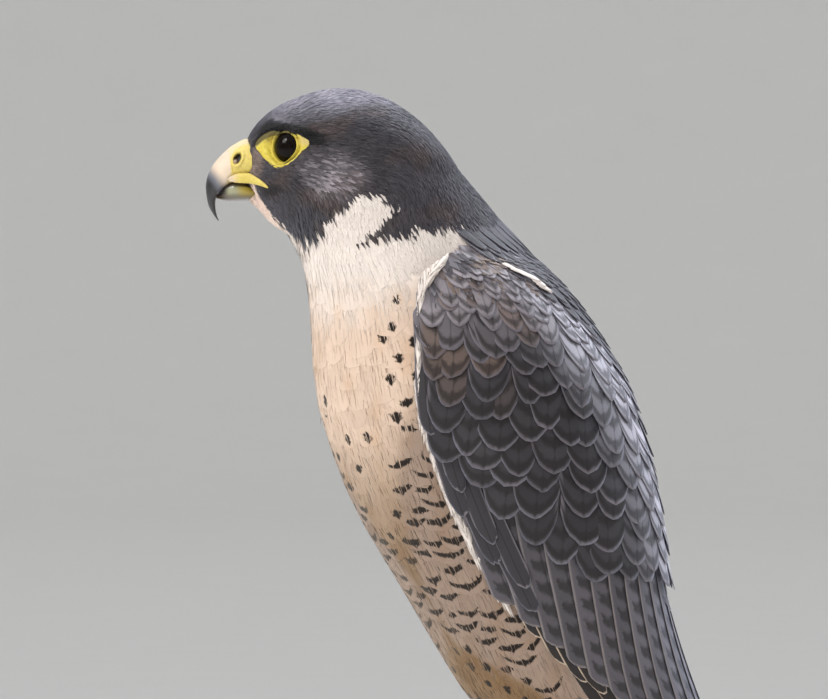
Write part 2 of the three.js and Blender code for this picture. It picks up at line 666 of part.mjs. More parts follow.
function leg(side, body) {
  const up = new THREE.Vector3(0, 0, 1);
  const down = up.clone().negate();
  const level = (z) => new THREE.Vector3(0, 0, z);
  const shank = legPart(side, TARSUS, 7, 12);
  const thigh = legPart(side, THIGH, 9, 18).add(shank);
  const foot = joined([shank, ...TOES.map((spec) => toe(side, spec))]);
  return {
    thigh: largest(keep(thigh, up, level(THIGH_END + GAP / 2)).subtract(body)),
    tarsus: largest(keep(keep(shank, down, level(THIGH_END - GAP / 2)), up, level(FOOT_TOP + GAP / 2))),
    foot: largest(keep(keep(foot, down, level(FOOT_TOP - GAP / 2)), up, level(0))),
    claws: TOES.map((spec) => ({ name: spec.name, shape: keep(talon(side, spec), up, level(0)) })),
  };
}

// The bird, stood so that the floor's middle under it is the origin.
function falcon() {
  const bird = new THREE.Group();
  const add = (name, shape, material) => {
    const mesh = new THREE.Mesh(geometryOf(shape), material);
    mesh.name = name;
    bird.add(mesh);
  };
  const room = bodyForm(GAP + 0.05).add(headForm(GAP + 0.05));
  const { head, neck, torso } = headNeckTorso();
  add("head", head, SLATE);
  add("neck", neck, SLATE);
  add("torso", torso, CREAM);
  const { cere, horn } = cereAndBill();
  add("cere", cere, YELLOW_SKIN);
  add("bill_upper", horn, HORN);
  add("bill_lower", lowerBill(), HORN);
  add("tail", tail(room), SLATE);
  for (const [word, side] of [["left", 1], ["right", -1]]) {
    add(`eye_${word}`, eyeball(side), EYE_BROWN);
    const thighRoom = legPart(side, THIGH, 9, 18, GAP + 0.05);
    add(`wing_${word}`, wing(side, room.add(thighRoom)), SLATE);
    const { thigh, tarsus, foot, claws } = leg(side, room);
    add(`thigh_${word}`, thigh, BARRED);
    add(`tarsus_${word}`, tarsus, YELLOW_SKIN);
    add(`foot_${word}`, foot, YELLOW_SKIN);
    for (const { name, shape } of claws) add(`claw_${word}_${name}`, shape, CLAW_BLACK);
  }
  const box = new THREE.Box3().setFromObject(bird);
  const middle = box.getCenter(new THREE.Vector3());
  bird.position.set(-middle.x, -middle.y, -box.min.z);
  const scene = new THREE.Group();
  scene.add(bird);
  return scene;
}

export default falcon();
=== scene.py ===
"""The looks of a life-size peregrine falcon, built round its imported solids.

Places are in the bird's own millimetres, as in the solids' source: +Z is up, the bird faces -Y,
and its left side is +X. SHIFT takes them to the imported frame.
"""

import json
import math

import bpy
import numpy as np
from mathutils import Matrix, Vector
from mathutils.bvhtree import BVHTree

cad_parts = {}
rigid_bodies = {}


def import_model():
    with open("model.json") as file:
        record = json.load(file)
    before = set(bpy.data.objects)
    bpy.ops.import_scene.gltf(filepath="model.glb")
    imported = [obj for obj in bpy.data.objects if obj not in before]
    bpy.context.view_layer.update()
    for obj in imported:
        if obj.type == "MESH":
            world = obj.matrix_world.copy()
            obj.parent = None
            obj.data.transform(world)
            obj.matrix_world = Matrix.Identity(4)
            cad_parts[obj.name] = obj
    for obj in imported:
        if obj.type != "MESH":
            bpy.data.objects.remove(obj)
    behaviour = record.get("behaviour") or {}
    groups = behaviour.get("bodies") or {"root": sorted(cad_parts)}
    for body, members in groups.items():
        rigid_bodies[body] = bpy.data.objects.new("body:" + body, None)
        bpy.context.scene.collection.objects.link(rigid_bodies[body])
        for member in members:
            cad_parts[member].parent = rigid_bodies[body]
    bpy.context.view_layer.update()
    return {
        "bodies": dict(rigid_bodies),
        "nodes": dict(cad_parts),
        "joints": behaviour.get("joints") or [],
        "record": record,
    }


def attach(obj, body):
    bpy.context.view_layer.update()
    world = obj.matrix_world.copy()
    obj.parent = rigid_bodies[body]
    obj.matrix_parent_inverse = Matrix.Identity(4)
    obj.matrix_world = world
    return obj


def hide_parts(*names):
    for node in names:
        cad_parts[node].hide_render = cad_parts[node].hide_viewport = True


SHIFT = np.array([-0.021, -38.315, 0.0])
MOST_TRIANGLES = 190_000  # in one piece of the coat
PATCH = 0.003  # of a tuft on the coat's map
SWELL = 0.25  # by which the solids are grown to meet each other before they become the skin
MOST_STRAY = 0.4  # of a feather's length, by which laying it on the skin may move its points
HEAD_FROM = 308.0  # the height from which the coat's map is the head's
UP = np.array([0.0, 0.0, 1.0])

# Level sections of the body: height, centre y, half width, half depth.
BODY = [
    (90, 67, 5, 7),
    (98, 64, 13, 15),
    (112, 57, 23, 23),
    (130, 47, 31, 30),
    (153, 32, 38, 35.5),
    (186, 15.8, 46, 40.6),
    (219, 2.1, 52.5, 47.8),
    (252, -9.6, 52, 49.2),
    (268, -14.2, 48.5, 47),
    (285, -20.8, 42, 42.8),
    (301, -29.5, 35.5, 38.8),
    (309, -35.2, 32.5, 39),
    (317, -40.5, 29.5, 36),
    (330, -45.5, 25, 28.6),
    (342, -50, 17, 17),
]
# The form that the folded wings follow, in the same way.
FOLDED = [
    (15, 160, 5, 5),
    (30, 146, 9, 8),
    (60, 117, 17, 14),
    (90, 89, 26, 22),
    (120, 61, 35, 31),
    (153, 35.5, 44, 39),
    (186, 18.3, 53, 43),
    (219, 4.6, 60, 50.2),
    (252, -7.2, 60, 51.6),
    (268, -12.4, 56, 48.6),
    (285, -19.4, 50, 44),
    (301, -29, 41, 38.5),
]
# A wing's front and back edge as bearings round that form: 0 at the side, 90 at the back's middle.
EDGES = [
    (15, 10, 66),
    (60, -2, 80),
    (90, -12, 82),
    (120, -23, 84),
    (153, -37, 85),
    (186, -50, 84),
    (219, -53, 78),
    (252, -52, 62),
    (268, -48, 48),
    (285, -42, 33),
    (294, -30, 22),
    (300, -10, 12),
]
# A thigh on the side of its hip: height, x, y, half width, half depth.
THIGH = [
    (62, 24, 31, 4.6, 5),
    (68, 24, 31, 6.4, 7),
    (82, 23.6, 30, 10.5, 12),
    (104, 22.5, 28.5, 13.6, 16.5),
    (130, 21.5, 28, 15.4, 19),
    (156, 20, 27, 14.5, 18),
    (172, 18, 24, 8, 10),
]
# A bare leg in the same way.
LEG = [
    (4, 26, 9, 5, 5.6),
    (14, 26, 11.5, 4.3, 4.9),
    (30, 25.4, 18, 3.5, 4),
    (48, 24.6, 25.5, 3.6, 4.1),
    (58, 24.2, 29.4, 4.4, 5),
    (72, 24, 31, 4.2, 4.6),
]
FOOT_CENTRE = (26.0, 8.0)
ON_FLOOR = 0.05  # the level of soles and claws that rest on the floor
# A toe each: bearing from straight ahead, length, thickness, pads, size of its talon.
TOES = [
    (-38, 30, 3.9, 2, 1.12),
    (4, 43, 3.8, 4, 0.95),
    (44, 33, 3.5, 3, 0.95),
    (172, 21, 4.0, 2, 1.12),
]
HEAD_CENTRE = np.array([-3.0, -55.4, 334.2])
HEAD_TURN = math.radians(30)  # to the bird's right
AHEAD = np.array([-math.sin(HEAD_TURN), -math.cos(HEAD_TURN), 0.0])
ASIDE = np.array([math.cos(HEAD_TURN), -math.sin(HEAD_TURN), 0.0])
EYE = {"forward": 15.0, "side": 12.4, "up": 0.9, "radius": 6.5}
SIDES = {1: "left", -1: "right"}
RIGHT_TUCK = 18.0  # degrees by which the right wing is folded further back
TAIL_ROOT = np.array([0.0, 58.0, 104.0])
TAIL_LEAN = math.radians(47)
TAIL_LENGTH = 155.0
UNBARRED = 1000.0  # a spacing of bars that leaves one mark on a feather
TAIL_DOWN = np.array([0.0, math.sin(TAIL_LEAN), -math.cos(TAIL_LEAN)])
TAIL_OUT = np.array([0.0, math.cos(TAIL_LEAN), math.sin(TAIL_LEAN)])

# The upper bill from forehead to hook: ridge forward and up, cutting edge forward and up, half width.
BILL = [
    (29, 4.2, 29, -10.6, 9),
    (32, 3.7, 31.4, -10.5, 8.7),
    (35, 2.1, 33.5, -10.4, 8.1),
    (37, 0.7, 35.2, -10.8, 7.3),
    (39.2, -1.3, 36.9, -11.6, 6.3),
    (41.8, -4.3, 38.4, -12.7, 5.3),
    (43.6, -7.7, 39.6, -14.4, 4.4),
    (44.4, -10.9, 40.4, -15, 3.5),
    (44.3, -14.4, 41.2, -16.6, 2.6),
    (43.5, -18.3, 41.2, -19.2, 1.7),
    (42, -21.1, 40.8, -21.4, 0.9),
    (40.4, -23.2, 40.1, -23.1, 0.3),
]
# The lower bill: forward, top, bottom, half width.
LOWER_BILL = [
    (24, -11.6, -16, 4.6),
    (29, -10.8, -16.4, 5.2),
    (31.5, -10.2, -16.7, 6.2),
    (35, -10.2, -16.8, 5.9),
    (38, -11.3, -16.7, 4.2),
    (40.3, -13.6, -16.5, 2),
]

# Where the dark hood ends, seen from the side of the head: forward and up from the head's centre.
HOOD = [
    (60, -11),
    (27.5, -11.5),
    (26.6, -14),
    (26.1, -16.5),
    (24.5, -19.1),
    (20, -24.6),
    (16, -30.7),
    (12.4, -35.6),
    (9.6, -32.6),
    (5.9, -29.7),
    (2.8, -24.1),
    (-2.2, -20.6),
    (-6.8, -17),
    (-11, -15.6),
    (-14.5, -17.6),
    (-18.9, -20.6),
    (-15.4, -23.6),
    (-12.6, -27.6),
    (-6.6, -32.3),
    (-18, -30.8),
    (-27, -28.6),
    (-39, -27.6),
    (-49.7, -30.5),
    (-62, -52),
    (-90, -60),
    (-90, 60),
    (60, 60),
]
# The bare yellow skin round the eye, in the same view.
BARE_EYE = [
    (24.5, 4.9),
    (21.9, 5.8),
    (19, 5.8),
    (15.3, 5.0),
    (12.3, 3.8),
    (10.4, 2.1),
    (12.9, -0.5),
    (15, -2.7),
    (17.9, -4.8),
    (20.6, -5.6),
    (23, -4.0),
    (25.6, -1.2),
    (27.4, 1.6),
]


def srgb(red, green, blue):
    """A colour given as on a screen, 0 to 255, as linear light."""
    share = np.array([red, green, blue]) / 255
    return np.where(share <= 0.04045, share / 12.92, ((share + 0.055) / 1.055) ** 2.4)


# The crown's own slate, made paler by painted top light.
CROWN_AND_TOP_LIGHT = srgb(128, 125, 136)
FACE = srgb(58, 55, 59)
BLACK = srgb(17, 15, 16)
NAPE = srgb(64, 60, 65)
MANTLE = srgb(58, 56, 62)
WING = srgb(50, 47, 50)
WING_FRINGE = srgb(108, 102, 108)
PRIMARY = srgb(36, 31, 29)
PALE_FRINGE = srgb(190, 170, 148)
CREAM = srgb(226, 215, 207)
BREAST = srgb(212, 188, 169)
# The belly's own tawny, darkened by painted shade.
BELLY_WITH_SHADE = srgb(124, 98, 70)
FLANK = srgb(150, 130, 116)
THIGH_PALE = srgb(190, 174, 156)
CHEEK_FLECK = srgb(158, 150, 156)
LORE = srgb(108, 94, 88)
SKIN_YELLOW = srgb(212, 196, 74)
PALE_YELLOW = srgb(222, 198, 134)


def mix(a, b, share):
    return a + (b - a) * share


def smooth(value, low, high):
    """0 below low, 1 above high, eased between; low may be the larger."""
    t = np.clip((np.asarray(value, float) - low) / (high - low), 0, 1)
    return t * t * (3 - 2 * t)


def unit(vectors):
    length = np.linalg.norm(vectors, axis=-1, keepdims=True)
    return vectors / np.maximum(length, 1e-9)


def curve(stations):
    """A smooth curve through rows of (place, values...), read anywhere and held beyond its ends."""
    table = np.array(stations, float)
    place, values = table[:, 0], table[:, 1:]
    before = np.r_[0, np.arange(len(table) - 1)]
    after = np.r_[np.arange(1, len(table)), len(table) - 1]
    slope = (values[after] - values[before]) / (place[after] - place[before])[:, None]

    def at(wanted):
        wanted = np.asarray(wanted, float)
        i = np.clip(np.searchsorted(place, wanted) - 1, 0, len(place) - 2)
        step = (place[i + 1] - place[i])[..., None]
        t = np.clip((wanted - place[i])[..., None] / step, 0, 1)
        ease = t * t * (3 - 2 * t)
        bend = t * (1 - t) * step * ((1 - t) * slope[i] - t * slope[i + 1])
        return mix(values[i], values[i + 1], ease) + bend

    return at


body_at = curve(BODY)
folded_at = curve(FOLDED)
edge_at = curve(EDGES)
thigh_at = curve(THIGH)
leg_at = curve(LEG)


def round_form(sections, z, bearing, proud):
    """Places on a form of level sections, by height, bearing in degrees and distance off it."""
    z, bearing, proud = np.broadcast_arrays(
        *(np.asarray(v, float) for v in (z, bearing, proud))
    )
    section = sections(z)
    a = np.radians(bearing)
    x = (section[..., 1] + proud) * np.cos(a)
    y = section[..., 0] + (section[..., 2] + proud) * np.sin(a)
    return np.stack([x, y, z], -1)


def on_body(z, bearing, proud=0.0):
    return round_form(body_at, z, bearing, proud)


def wing_form(z):
    """The folded wings' form, which runs out into the neck above the shoulders."""
    z = np.asarray(z, float)
    return mix(folded_at(z), body_at(z), smooth(z, 290, 308)[..., None])


def on_wing(z, bearing, proud=0.0):
    return round_form(wing_form, z, bearing, proud)


def wing_edges(side, z):
    """Bearings of a wing's front and back edge. The right wing is folded a little further back."""
    front, back = np.moveaxis(edge_at(z), -1, 0)
    return front + (0.0 if side > 0 else RIGHT_TUCK), back


def degree_length(z, bearing):
    """Millimetres round the wing's form for one degree of bearing."""
    section = wing_form(z)
    a = np.radians(bearing)
    return np.radians(np.hypot(section[..., 1] * np.sin(a), section[..., 2] * np.cos(a)))


def head_place(forward, left, up):
    """The place so far forward, left and up of the head's centre."""
    forward, left, up = (np.asarray(v, float)[..., None] for v in (forward, left, up))
    return HEAD_CENTRE + forward * AHEAD + left * ASIDE + up * UP


def head_view(points):
    """How far places are forward, left and up of the head's centre."""
    off = points - HEAD_CENTRE
    return off @ AHEAD, off @ ASIDE, off[..., 2]


def side_view(points):
    """The head's side view of places: how far they are forward and up of its centre."""
    forward, _, up = head_view(points)
    return np.stack([forward, up], -1)


def from_bare_eye(points):
    """Distance from the bare skin round the eye in the head's side view, negative inside it."""
    return outside(side_view(points), BARE_EYE)


def on_tail(down, across, proud):
    """The place so far down the tail from its root, across it and above it."""
    down, across, proud = (np.asarray(v, float)[..., None] for v in (down, across, proud))
    return TAIL_ROOT + down * TAIL_DOWN + across * np.array([1.0, 0, 0]) + proud * TAIL_OUT


def outside(points, polygon):
    """Distance from a closed polygon in the plane: positive outside it, negative inside."""
    corners = np.array(polygon, float)
    inside = np.zeros(points.shape[:-1], bool)
    nearest = np.full(points.shape[:-1], 1e9)
    for a, b in zip(corners, np.roll(corners, -1, axis=0)):
        edge = b - a
        t = np.clip((points - a) @ edge / (edge @ edge), 0, 1)
        nearest = np.minimum(nearest, np.linalg.norm(points - a - t[..., None] * edge, axis=-1))
        crosses = (a[1] > points[..., 1]) != (b[1] > points[..., 1])
        rise = edge[1] if edge[1] else 1e-9
        at_x = a[0] + (points[..., 1] - a[1]) * edge[0] / rise
        inside ^= crosses & (points[..., 0] < at_x)
    return np.where(inside, -nearest, nearest)


def waves(points, size, seed, octaves=2):
    """Smooth seeded noise between about -1 and 1, with features of that size in millimetres."""
    rng = np.random.default_rng(seed)
    total = np.zeros(points.shape[:-1])
    for octave in range(octaves):
        for _ in range(4):
            direction = unit(rng.normal(size=3)) * 2 * np.pi / (size / 2**octave)
            total += np.sin(points @ direction + rng.uniform(0, 6.28)) / 2**octave
    return total / 3.2


def mesh_of(name, points, faces, attributes=None, bake=None, normals=None):
    """A smooth mesh from places in the bird's millimetres and arrays of faces with equal corners.

    Where a normal is given for each corner, those that aren't zero take the place of the mesh's own.
    """
    mesh = bpy.data.meshes.new(name)
    faces = [np.asarray(f, np.int32) for f in faces if len(f)]
    corners = np.concatenate([f.ravel() for f in faces])
    sizes = np.concatenate([np.full(len(f), f.shape[1]) for f in faces])
    starts = np.r_[0, np.cumsum(sizes)[:-1]].astype(np.int32)
    mesh.vertices.add(len(points))
    metres = ((np.asarray(points) + SHIFT) / 1000).astype(np.float32)
    mesh.vertices.foreach_set("co", metres.ravel())
    mesh.loops.add(len(corners))
    mesh.loops.foreach_set("vertex_index", corners)
    mesh.polygons.add(len(starts))
    mesh.polygons.foreach_set("loop_start", starts)
    mesh.update(calc_edges=True)
    mesh.polygons.foreach_set("use_smooth", np.ones(len(starts), bool))
    if normals is not None:
        mesh.normals_split_custom_set(normals.astype(np.float32))
    for key, values in (attributes or {}).items():
        kind, field = ("FLOAT_COLOR", "color") if values.shape[1] == 4 else ("FLOAT_VECTOR", "vector")
        layer = mesh.attributes.new(key, kind, "POINT")
        layer.data.foreach_set(field, values.astype(np.float32).ravel())
    if bake is not None:
        layer = mesh.uv_layers.new(name="OFBake")
        layer.data.foreach_set("uv", bake[corners].astype(np.float32).ravel())
    return mesh


def add_piece(name, mesh, material, slot, replaced=()):
    """An object of the bird, riding on its one body."""
    thing = bpy.data.objects.new(name, mesh)
    bpy.context.scene.collection.objects.link(thing)
    mesh.materials.clear()
    mesh.materials.append(material)
    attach(thing, "root")
    if replaced:
        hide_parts(*replaced)
    return thing


def loft(rings, closed_ends=True):
    """Points and faces of a tube through rings of equally many points, given as (rings, points, 3)."""
    rings = np.asarray(rings, float)
    rows, count = rings.shape[:2]
    points = rings.reshape(-1, 3)
    a = (np.arange(rows - 1)[:, None] * count + np.arange(count)).ravel()
    b = (np.arange(rows - 1)[:, None] * count + (np.arange(count) + 1) % count).ravel()
    quads = np.stack([a, b, b + count, a + count], 1)
    triangles = np.zeros((0, 3), int)
    if closed_ends:
        hubs = len(points) + np.arange(2)
        points = np.concatenate([points, rings[[0, -1]].mean(axis=1)])
        ring = np.arange(count)
        after = (ring + 1) % count
        first = np.stack([after, ring, np.full(count, hubs[0])], 1)
        last_start = (rows - 1) * count
        last = np.stack([last_start + ring, last_start + after, np.full(count, hubs[1])], 1)
        triangles = np.concatenate([first, last])
    return points, [quads, triangles]


def facing_out(points, faces):
    """The same faces, turned round if they enclose the points inside out."""
    volume = 0.0
    for face in faces:
        if len(face):
            p = points[face]
            volume += np.einsum("ij,ij->i", p[:, 0], np.cross(p[:, 1], p[:, 2])).sum()
    return [face[:, ::-1] for face in faces] if volume < 0 else faces


def full_turn(count):
    """Angles all the way round, as a row."""
    return np.linspace(0, 2 * np.pi, count + 1)[:-1][None, :]


def closed_form(rings):
    """The closed form through rings, its faces looking outward."""
    points, faces = loft(rings)
    return points, facing_out(points, faces)


def tinted(colour, share):
    """Colours with the share that each takes, for a material's tint."""
    tint = np.ones((len(share), 4))
    tint[:, :3] = colour
    tint[:, 3] = share
    return tint


# Materials

class Recipe:
    """A material written as calls, each of which adds a node and returns its output."""

    def __init__(self, name, roughness, specular=0.3, sheen=0.0, sheen_tint=(1, 1, 1), coat=0.0):
        self.material = bpy.data.materials.new(name)
        self.material.use_nodes = True
        self.tree = self.material.node_tree
        self.shader = next(n for n in self.tree.nodes if n.type == "BSDF_PRINCIPLED")
        self.shader.inputs["Roughness"].default_value = roughness
        self.shader.inputs["Specular IOR Level"].default_value = specular
        self.shader.inputs["Sheen Weight"].default_value = sheen
        self.shader.inputs["Sheen Roughness"].default_value = 0.45
        self.shader.inputs["Sheen Tint"].default_value = (*sheen_tint, 1)
        self.shader.inputs["Coat Weight"].default_value = coat
        self.shader.inputs["Coat Roughness"].default_value = 0.08

    def set(self, socket, value):
        if isinstance(value, bpy.types.NodeSocket):
            self.tree.links.new(value, socket)
        elif socket.type == "RGBA":
            socket.default_value = (*value, 1) if len(value) == 3 else value
        else:
            socket.default_value = value

    def add(self, kind, inputs=(), output=0, **settings):
        node = self.tree.nodes.new(kind)
        for key, value in settings.items():
            setattr(node, key, value)
        for place, value in dict(inputs).items():
            self.set(node.inputs[place], value)
        return node.outputs[output]

    def math(self, operation, *values):
        return self.add("ShaderNodeMath", enumerate(values), operation=operation)

    def times(self, a, b):
        return self.math("MULTIPLY", a, b)

    def plus(self, a, b):
        return self.math("ADD", a, b)

    def minus(self, a, b):
        return self.math("SUBTRACT", a, b)

    def swing(self, noise, reach):
        """Noise turned into a swing to both sides of 0, reach in all."""
        return self.times(self.minus(noise, 0.5), reach)

    def varied(self, noise, least, reach):
        return self.plus(least, self.times(noise, reach))

    def attribute(self, name, output="Vector"):
        return self.add("ShaderNodeAttribute", output=output, attribute_name=name)

    def parts(self, vector):
        node = self.tree.nodes.new("ShaderNodeSeparateXYZ")
        self.set(node.inputs[0], vector)
        return node.outputs[0], node.outputs[1], node.outputs[2]

    def vector(self, x, y, z):
        return self.add("ShaderNodeCombineXYZ", enumerate((x, y, z)))

    def ease(self, value, low, high, start=0.0, end=1.0):
        inputs = {0: value, 1: low, 2: high, 3: start, 4: end}
        return self.add("ShaderNodeMapRange", inputs, interpolation_type="SMOOTHSTEP")

    def fade(self, value, low, high):
        """1 below low and 0 above high."""
        return self.ease(value, low, high, 1.0, 0.0)

    def noise(self, vector, scale, detail=3.0, rough=0.5):
        inputs = {"Vector": vector, "Scale": scale, "Detail": detail, "Roughness": rough}
        return self.add("ShaderNodeTexNoise", inputs)

    def blend(self, share, a, b, way="MIX"):
        node = self.tree.nodes.new("ShaderNodeMix")
        node.data_type = "RGBA"
        node.blend_type = way
        self.set(node.inputs[0], share)
        self.set(node.inputs[6], a)
        self.set(node.inputs[7], b)
        return node.outputs[2]

    def shaded(self, colour, share):
        return self.blend(1.0, colour, self.vector(share, share, share), "MULTIPLY")

    def bump(self, height, strength, distance):
        inputs = {"Height": height, "Strength": strength, "Distance": distance}
        self.set(self.shader.inputs["Normal"], self.add("ShaderNodeBump", inputs))

    def finish(self, colour, roughness=None):
        self.set(self.shader.inputs["Base Color"], colour)
        if roughness is not None:
            self.set(self.shader.inputs["Roughness"], roughness)
        return self.material


def plumage(name, ink, roughness, specular, sheen, sheen_tint, blur, wobble):
    """Feathers: ground colour, fringe, shaft and marks, each by the place on its own vane."""
    m = Recipe(name, roughness, specular, sheen, sheen_tint)
    u, v, seed = m.parts(m.attribute("vane"))
    half, length, shaft_dark = m.parts(m.attribute("size"))
    side = m.math("ABSOLUTE", u)
    across = m.times(side, half)
    from_root = m.times(v, length)
    from_tip = m.times(m.minus(1.0, v), length)
    from_edge = m.times(m.minus(1.0, side), half)
    shifted = m.times(seed, 97.0)
    # Barbs leave the shaft towards the tip, so they are fine streaks across this slanted place.
    slant = m.minus(from_root, m.times(across, 1.1))
    barbs = m.noise(m.vector(slant, m.times(across, 0.16), shifted), 2.4, 4.0, 0.65)
    wander = m.noise(m.vector(m.times(u, half), from_root, shifted), 0.7, 2.0)
    frayed = m.swing(barbs, 0.7)
    # A fringe along the whole rim of the vane.
    fringe_width = m.attribute("fringe", "Alpha")
    rim = m.plus(m.math("MINIMUM", from_tip, from_edge), frayed)
    in_rim = m.fade(m.math("DIVIDE", rim, m.math("MAXIMUM", fringe_width, 0.01)), 0.25, 1.6)
    in_rim = m.times(in_rim, m.ease(fringe_width, 0.01, 0.1))
    # One mark or a row of bars, each with a point down the shaft.
    mark_place, mark_half, mark_wide = m.parts(m.attribute("mark"))
    spacing = m.attribute("mark", "Alpha")
    droop = m.times(m.times(side, side), 1.6)
    down = m.minus(m.minus(from_tip, mark_place), droop)
    down = m.plus(m.plus(down, m.swing(wander, wobble)), frayed)
    half_bar = m.plus(mark_half, m.times(m.fade(across, 0.0, 1.3), m.times(mark_half, 0.6)))
    distance = m.math("PINGPONG", down, m.times(spacing, 0.5))
    bar = m.fade(m.minus(distance, half_bar), -blur, blur)
    reach = m.plus(side, m.swing(wander, 0.5))
    bar = m.times(bar, m.fade(m.minus(reach, mark_wide), -0.07, 0.07))
    bar = m.times(bar, m.ease(mark_half, 0.01, 0.1))
    bar = m.times(bar, m.attribute("ground", "Alpha"))
    # The dark shaft, which ends a little before the tip.
    shaft = m.times(m.fade(across, 0.1, 0.42), shaft_dark)
    shaft = m.times(shaft, m.ease(from_tip, 0.4, 2.0))
    ground = m.shaded(m.attribute("ground", "Color"), m.varied(barbs, 0.8, 0.4))
    colour = m.blend(in_rim, ground, m.attribute("fringe", "Color"))
    colour = m.blend(bar, colour, ink)
    colour = m.blend(shaft, colour, ink)
    ridge = m.times(m.fade(across, 0.0, 0.5), 0.25)
    m.bump(m.plus(m.times(barbs, 0.5), ridge), 0.55, 0.0003)
    return m.finish(colour, m.varied(barbs, roughness - 0.08, 0.16))


def bare_skin(name, colour, deep, roughness, scale):
    """Bare skin with fine creases: cere, eye rims, legs and feet."""
    m = Recipe(name, roughness, 0.45)
    m.shader.inputs["Subsurface Weight"].default_value = 0.12
    m.shader.inputs["Subsurface Radius"].default_value = (0.6, 0.35, 0.1)
    m.shader.inputs["Subsurface Scale"].default_value = 0.001
    place = m.add("ShaderNodeTexCoord", output="Object")
    cells = {"Vector": place, "Scale": scale}
    gap = m.add("ShaderNodeTexVoronoi", cells, feature="DISTANCE_TO_EDGE")
    crease = m.fade(gap, 0.0, 0.12)
    mottle = m.noise(place, scale * 0.35, 4.0, 0.6)
    shade = m.blend(m.ease(mottle, 0.35, 0.75), colour, deep)
    shade = m.blend(m.times(crease, 0.18), shade, deep)
    shade = m.blend(m.attribute("tint", "Alpha"), shade, m.attribute("tint", "Color"))
    m.bump(m.minus(m.times(mottle, 0.5), m.times(crease, 0.4)), 0.5, 0.00025)
    return m.finish(shade, m.varied(mottle, roughness - 0.1, 0.2))


def horn(name, roughness):
    """Bill and claws: the colour is laid by place, with fine growth lines."""
    m = Recipe(name, roughness, 0.5, coat=0.25)
    place = m.add("ShaderNodeTexCoord", output="Object")
    cloud = m.noise(place, 260.0, 4.0, 0.6)
    stretched = m.add("ShaderNodeMapping", {"Vector": place, "Scale": (1.0, 1.0, 5.0)})
    lines = m.noise(stretched, 700.0, 2.0)
    colour = m.shaded(m.attribute("tint", "Color"), m.varied(cloud, 0.86, 0.28))
    m.bump(m.plus(m.times(lines, 0.6), m.times(cloud, 0.4)), 0.2, 0.0002)
    return m.finish(colour, m.varied(cloud, roughness - 0.07, 0.14))


def eye_surface():
    """The dark brown ball under a clear coat."""
    m = Recipe("eye_gloss", 0.08, 0.02, coat=0.16)
    m.shader.inputs["Coat Roughness"].default_value = 0.02
    streaks = m.noise(m.add("ShaderNodeTexCoord", output="Object"), 900.0, 3.0)
    return m.finish(m.blend(streaks, srgb(7, 5, 5), srgb(20, 13, 9)))


def make_materials():
    bluish = tuple(srgb(186, 198, 226))
    warm = tuple(srgb(255, 244, 230))
    slate_ink, pale_ink = srgb(27, 22, 21), srgb(34, 27, 24)
    deep_yellow = srgb(192, 166, 58)
    return {
        "slate_plumage": plumage("slate_plumage", slate_ink, 0.6, 0.25, 0.2, bluish, 1.1, 2.2),
        "pale_plumage": plumage("pale_plumage", pale_ink, 0.8, 0.12, 0.2, warm, 0.4, 1.0),
        "barred_plumage": plumage("barred_plumage", pale_ink, 0.8, 0.12, 0.15, warm, 0.4, 1.0),
        "yellow_skin": bare_skin("yellow_skin", SKIN_YELLOW, deep_yellow, 0.45, 2600.0),
        "bill_horn": horn("bill_horn", 0.32),
        "claw_horn": horn("claw_horn", 0.35),
        "eye_gloss": eye_surface(),
    }


# The skin

def wing_slab(side, rows=46, columns=44):
    """The bulk of a folded wing and of the shoulder behind it, as a closed slab."""
    z = np.linspace(158, 307, rows)[:, None]
    front, back = wing_edges(side, z)
    back = np.maximum(back, np.where(z > 200, 91.0, back))
    share = np.linspace(0.012, 1.0, columns)[None, :]
    bearing = mix(front, back, share)
    rim = -1.6 * (smooth(share, 0.05, 0.0) + smooth(z, 175, 158))
    outer = on_wing(z, bearing, -2.2 + rim)
    inner = on_wing(z, bearing, -13.0)
    for grid in (outer, inner):
        grid[..., 0] *= side
    return closed_form(np.concatenate([outer, inner[:, ::-1]], axis=1))


def tail_stump():
    """The flesh at the tail's root."""
    down = np.array([-16, 10, 34, 56.0])[:, None]
    wide = np.array([13, 14.5, 13, 9.0])[:, None]
    deep = np.array([9, 8.5, 5.4, 2.6])[:, None] - 0.8
    a = full_turn(32)
    return closed_form(on_tail(down, wide * np.cos(a), deep * np.sin(a)))


def chin_pad():
    """The soft chin that fills the back of the lower bill."""
    t = np.linspace(-1, 1, 15)[1:-1, None]
    a = full_turn(32)
    r = np.sqrt(1 - t**2)
    return closed_form(head_place(26.9 + 4.8 * t, 6.0 * r * np.cos(a), -15.3 + 3.0 * r * np.sin(a)))


def swollen(places, normals, corners):
    """A solid grown a little, so that solids with a fine gap between them meet."""
    _, first, group = np.unique(np.round(places, 3), axis=0, return_index=True, return_inverse=True)
    group = group.ravel()
    total = np.zeros((len(first), 3))
    np.add.at(total, group, normals)
    return places[first] + SWELL * unit(total), [group[corners]]


def flesh(frame):
    """The solids of flesh, the wings' bulk and the tail's stump as one heap of closed forms."""
    parts = []
    for node in ("head", "neck", "torso", "thigh_left", "thigh_right"):
        parts.append(swollen(*arrays_of(frame["nodes"][node].data, 3)))
    parts += [wing_slab(1), wing_slab(-1), tail_stump(), chin_pad()]
    points = np.concatenate([p for p, _ in parts])
    starts = np.cumsum([0] + [len(p) for p, _ in parts])
    faces = [face + start for (_, sets), start in zip(parts, starts) for face in sets]
    return points, faces


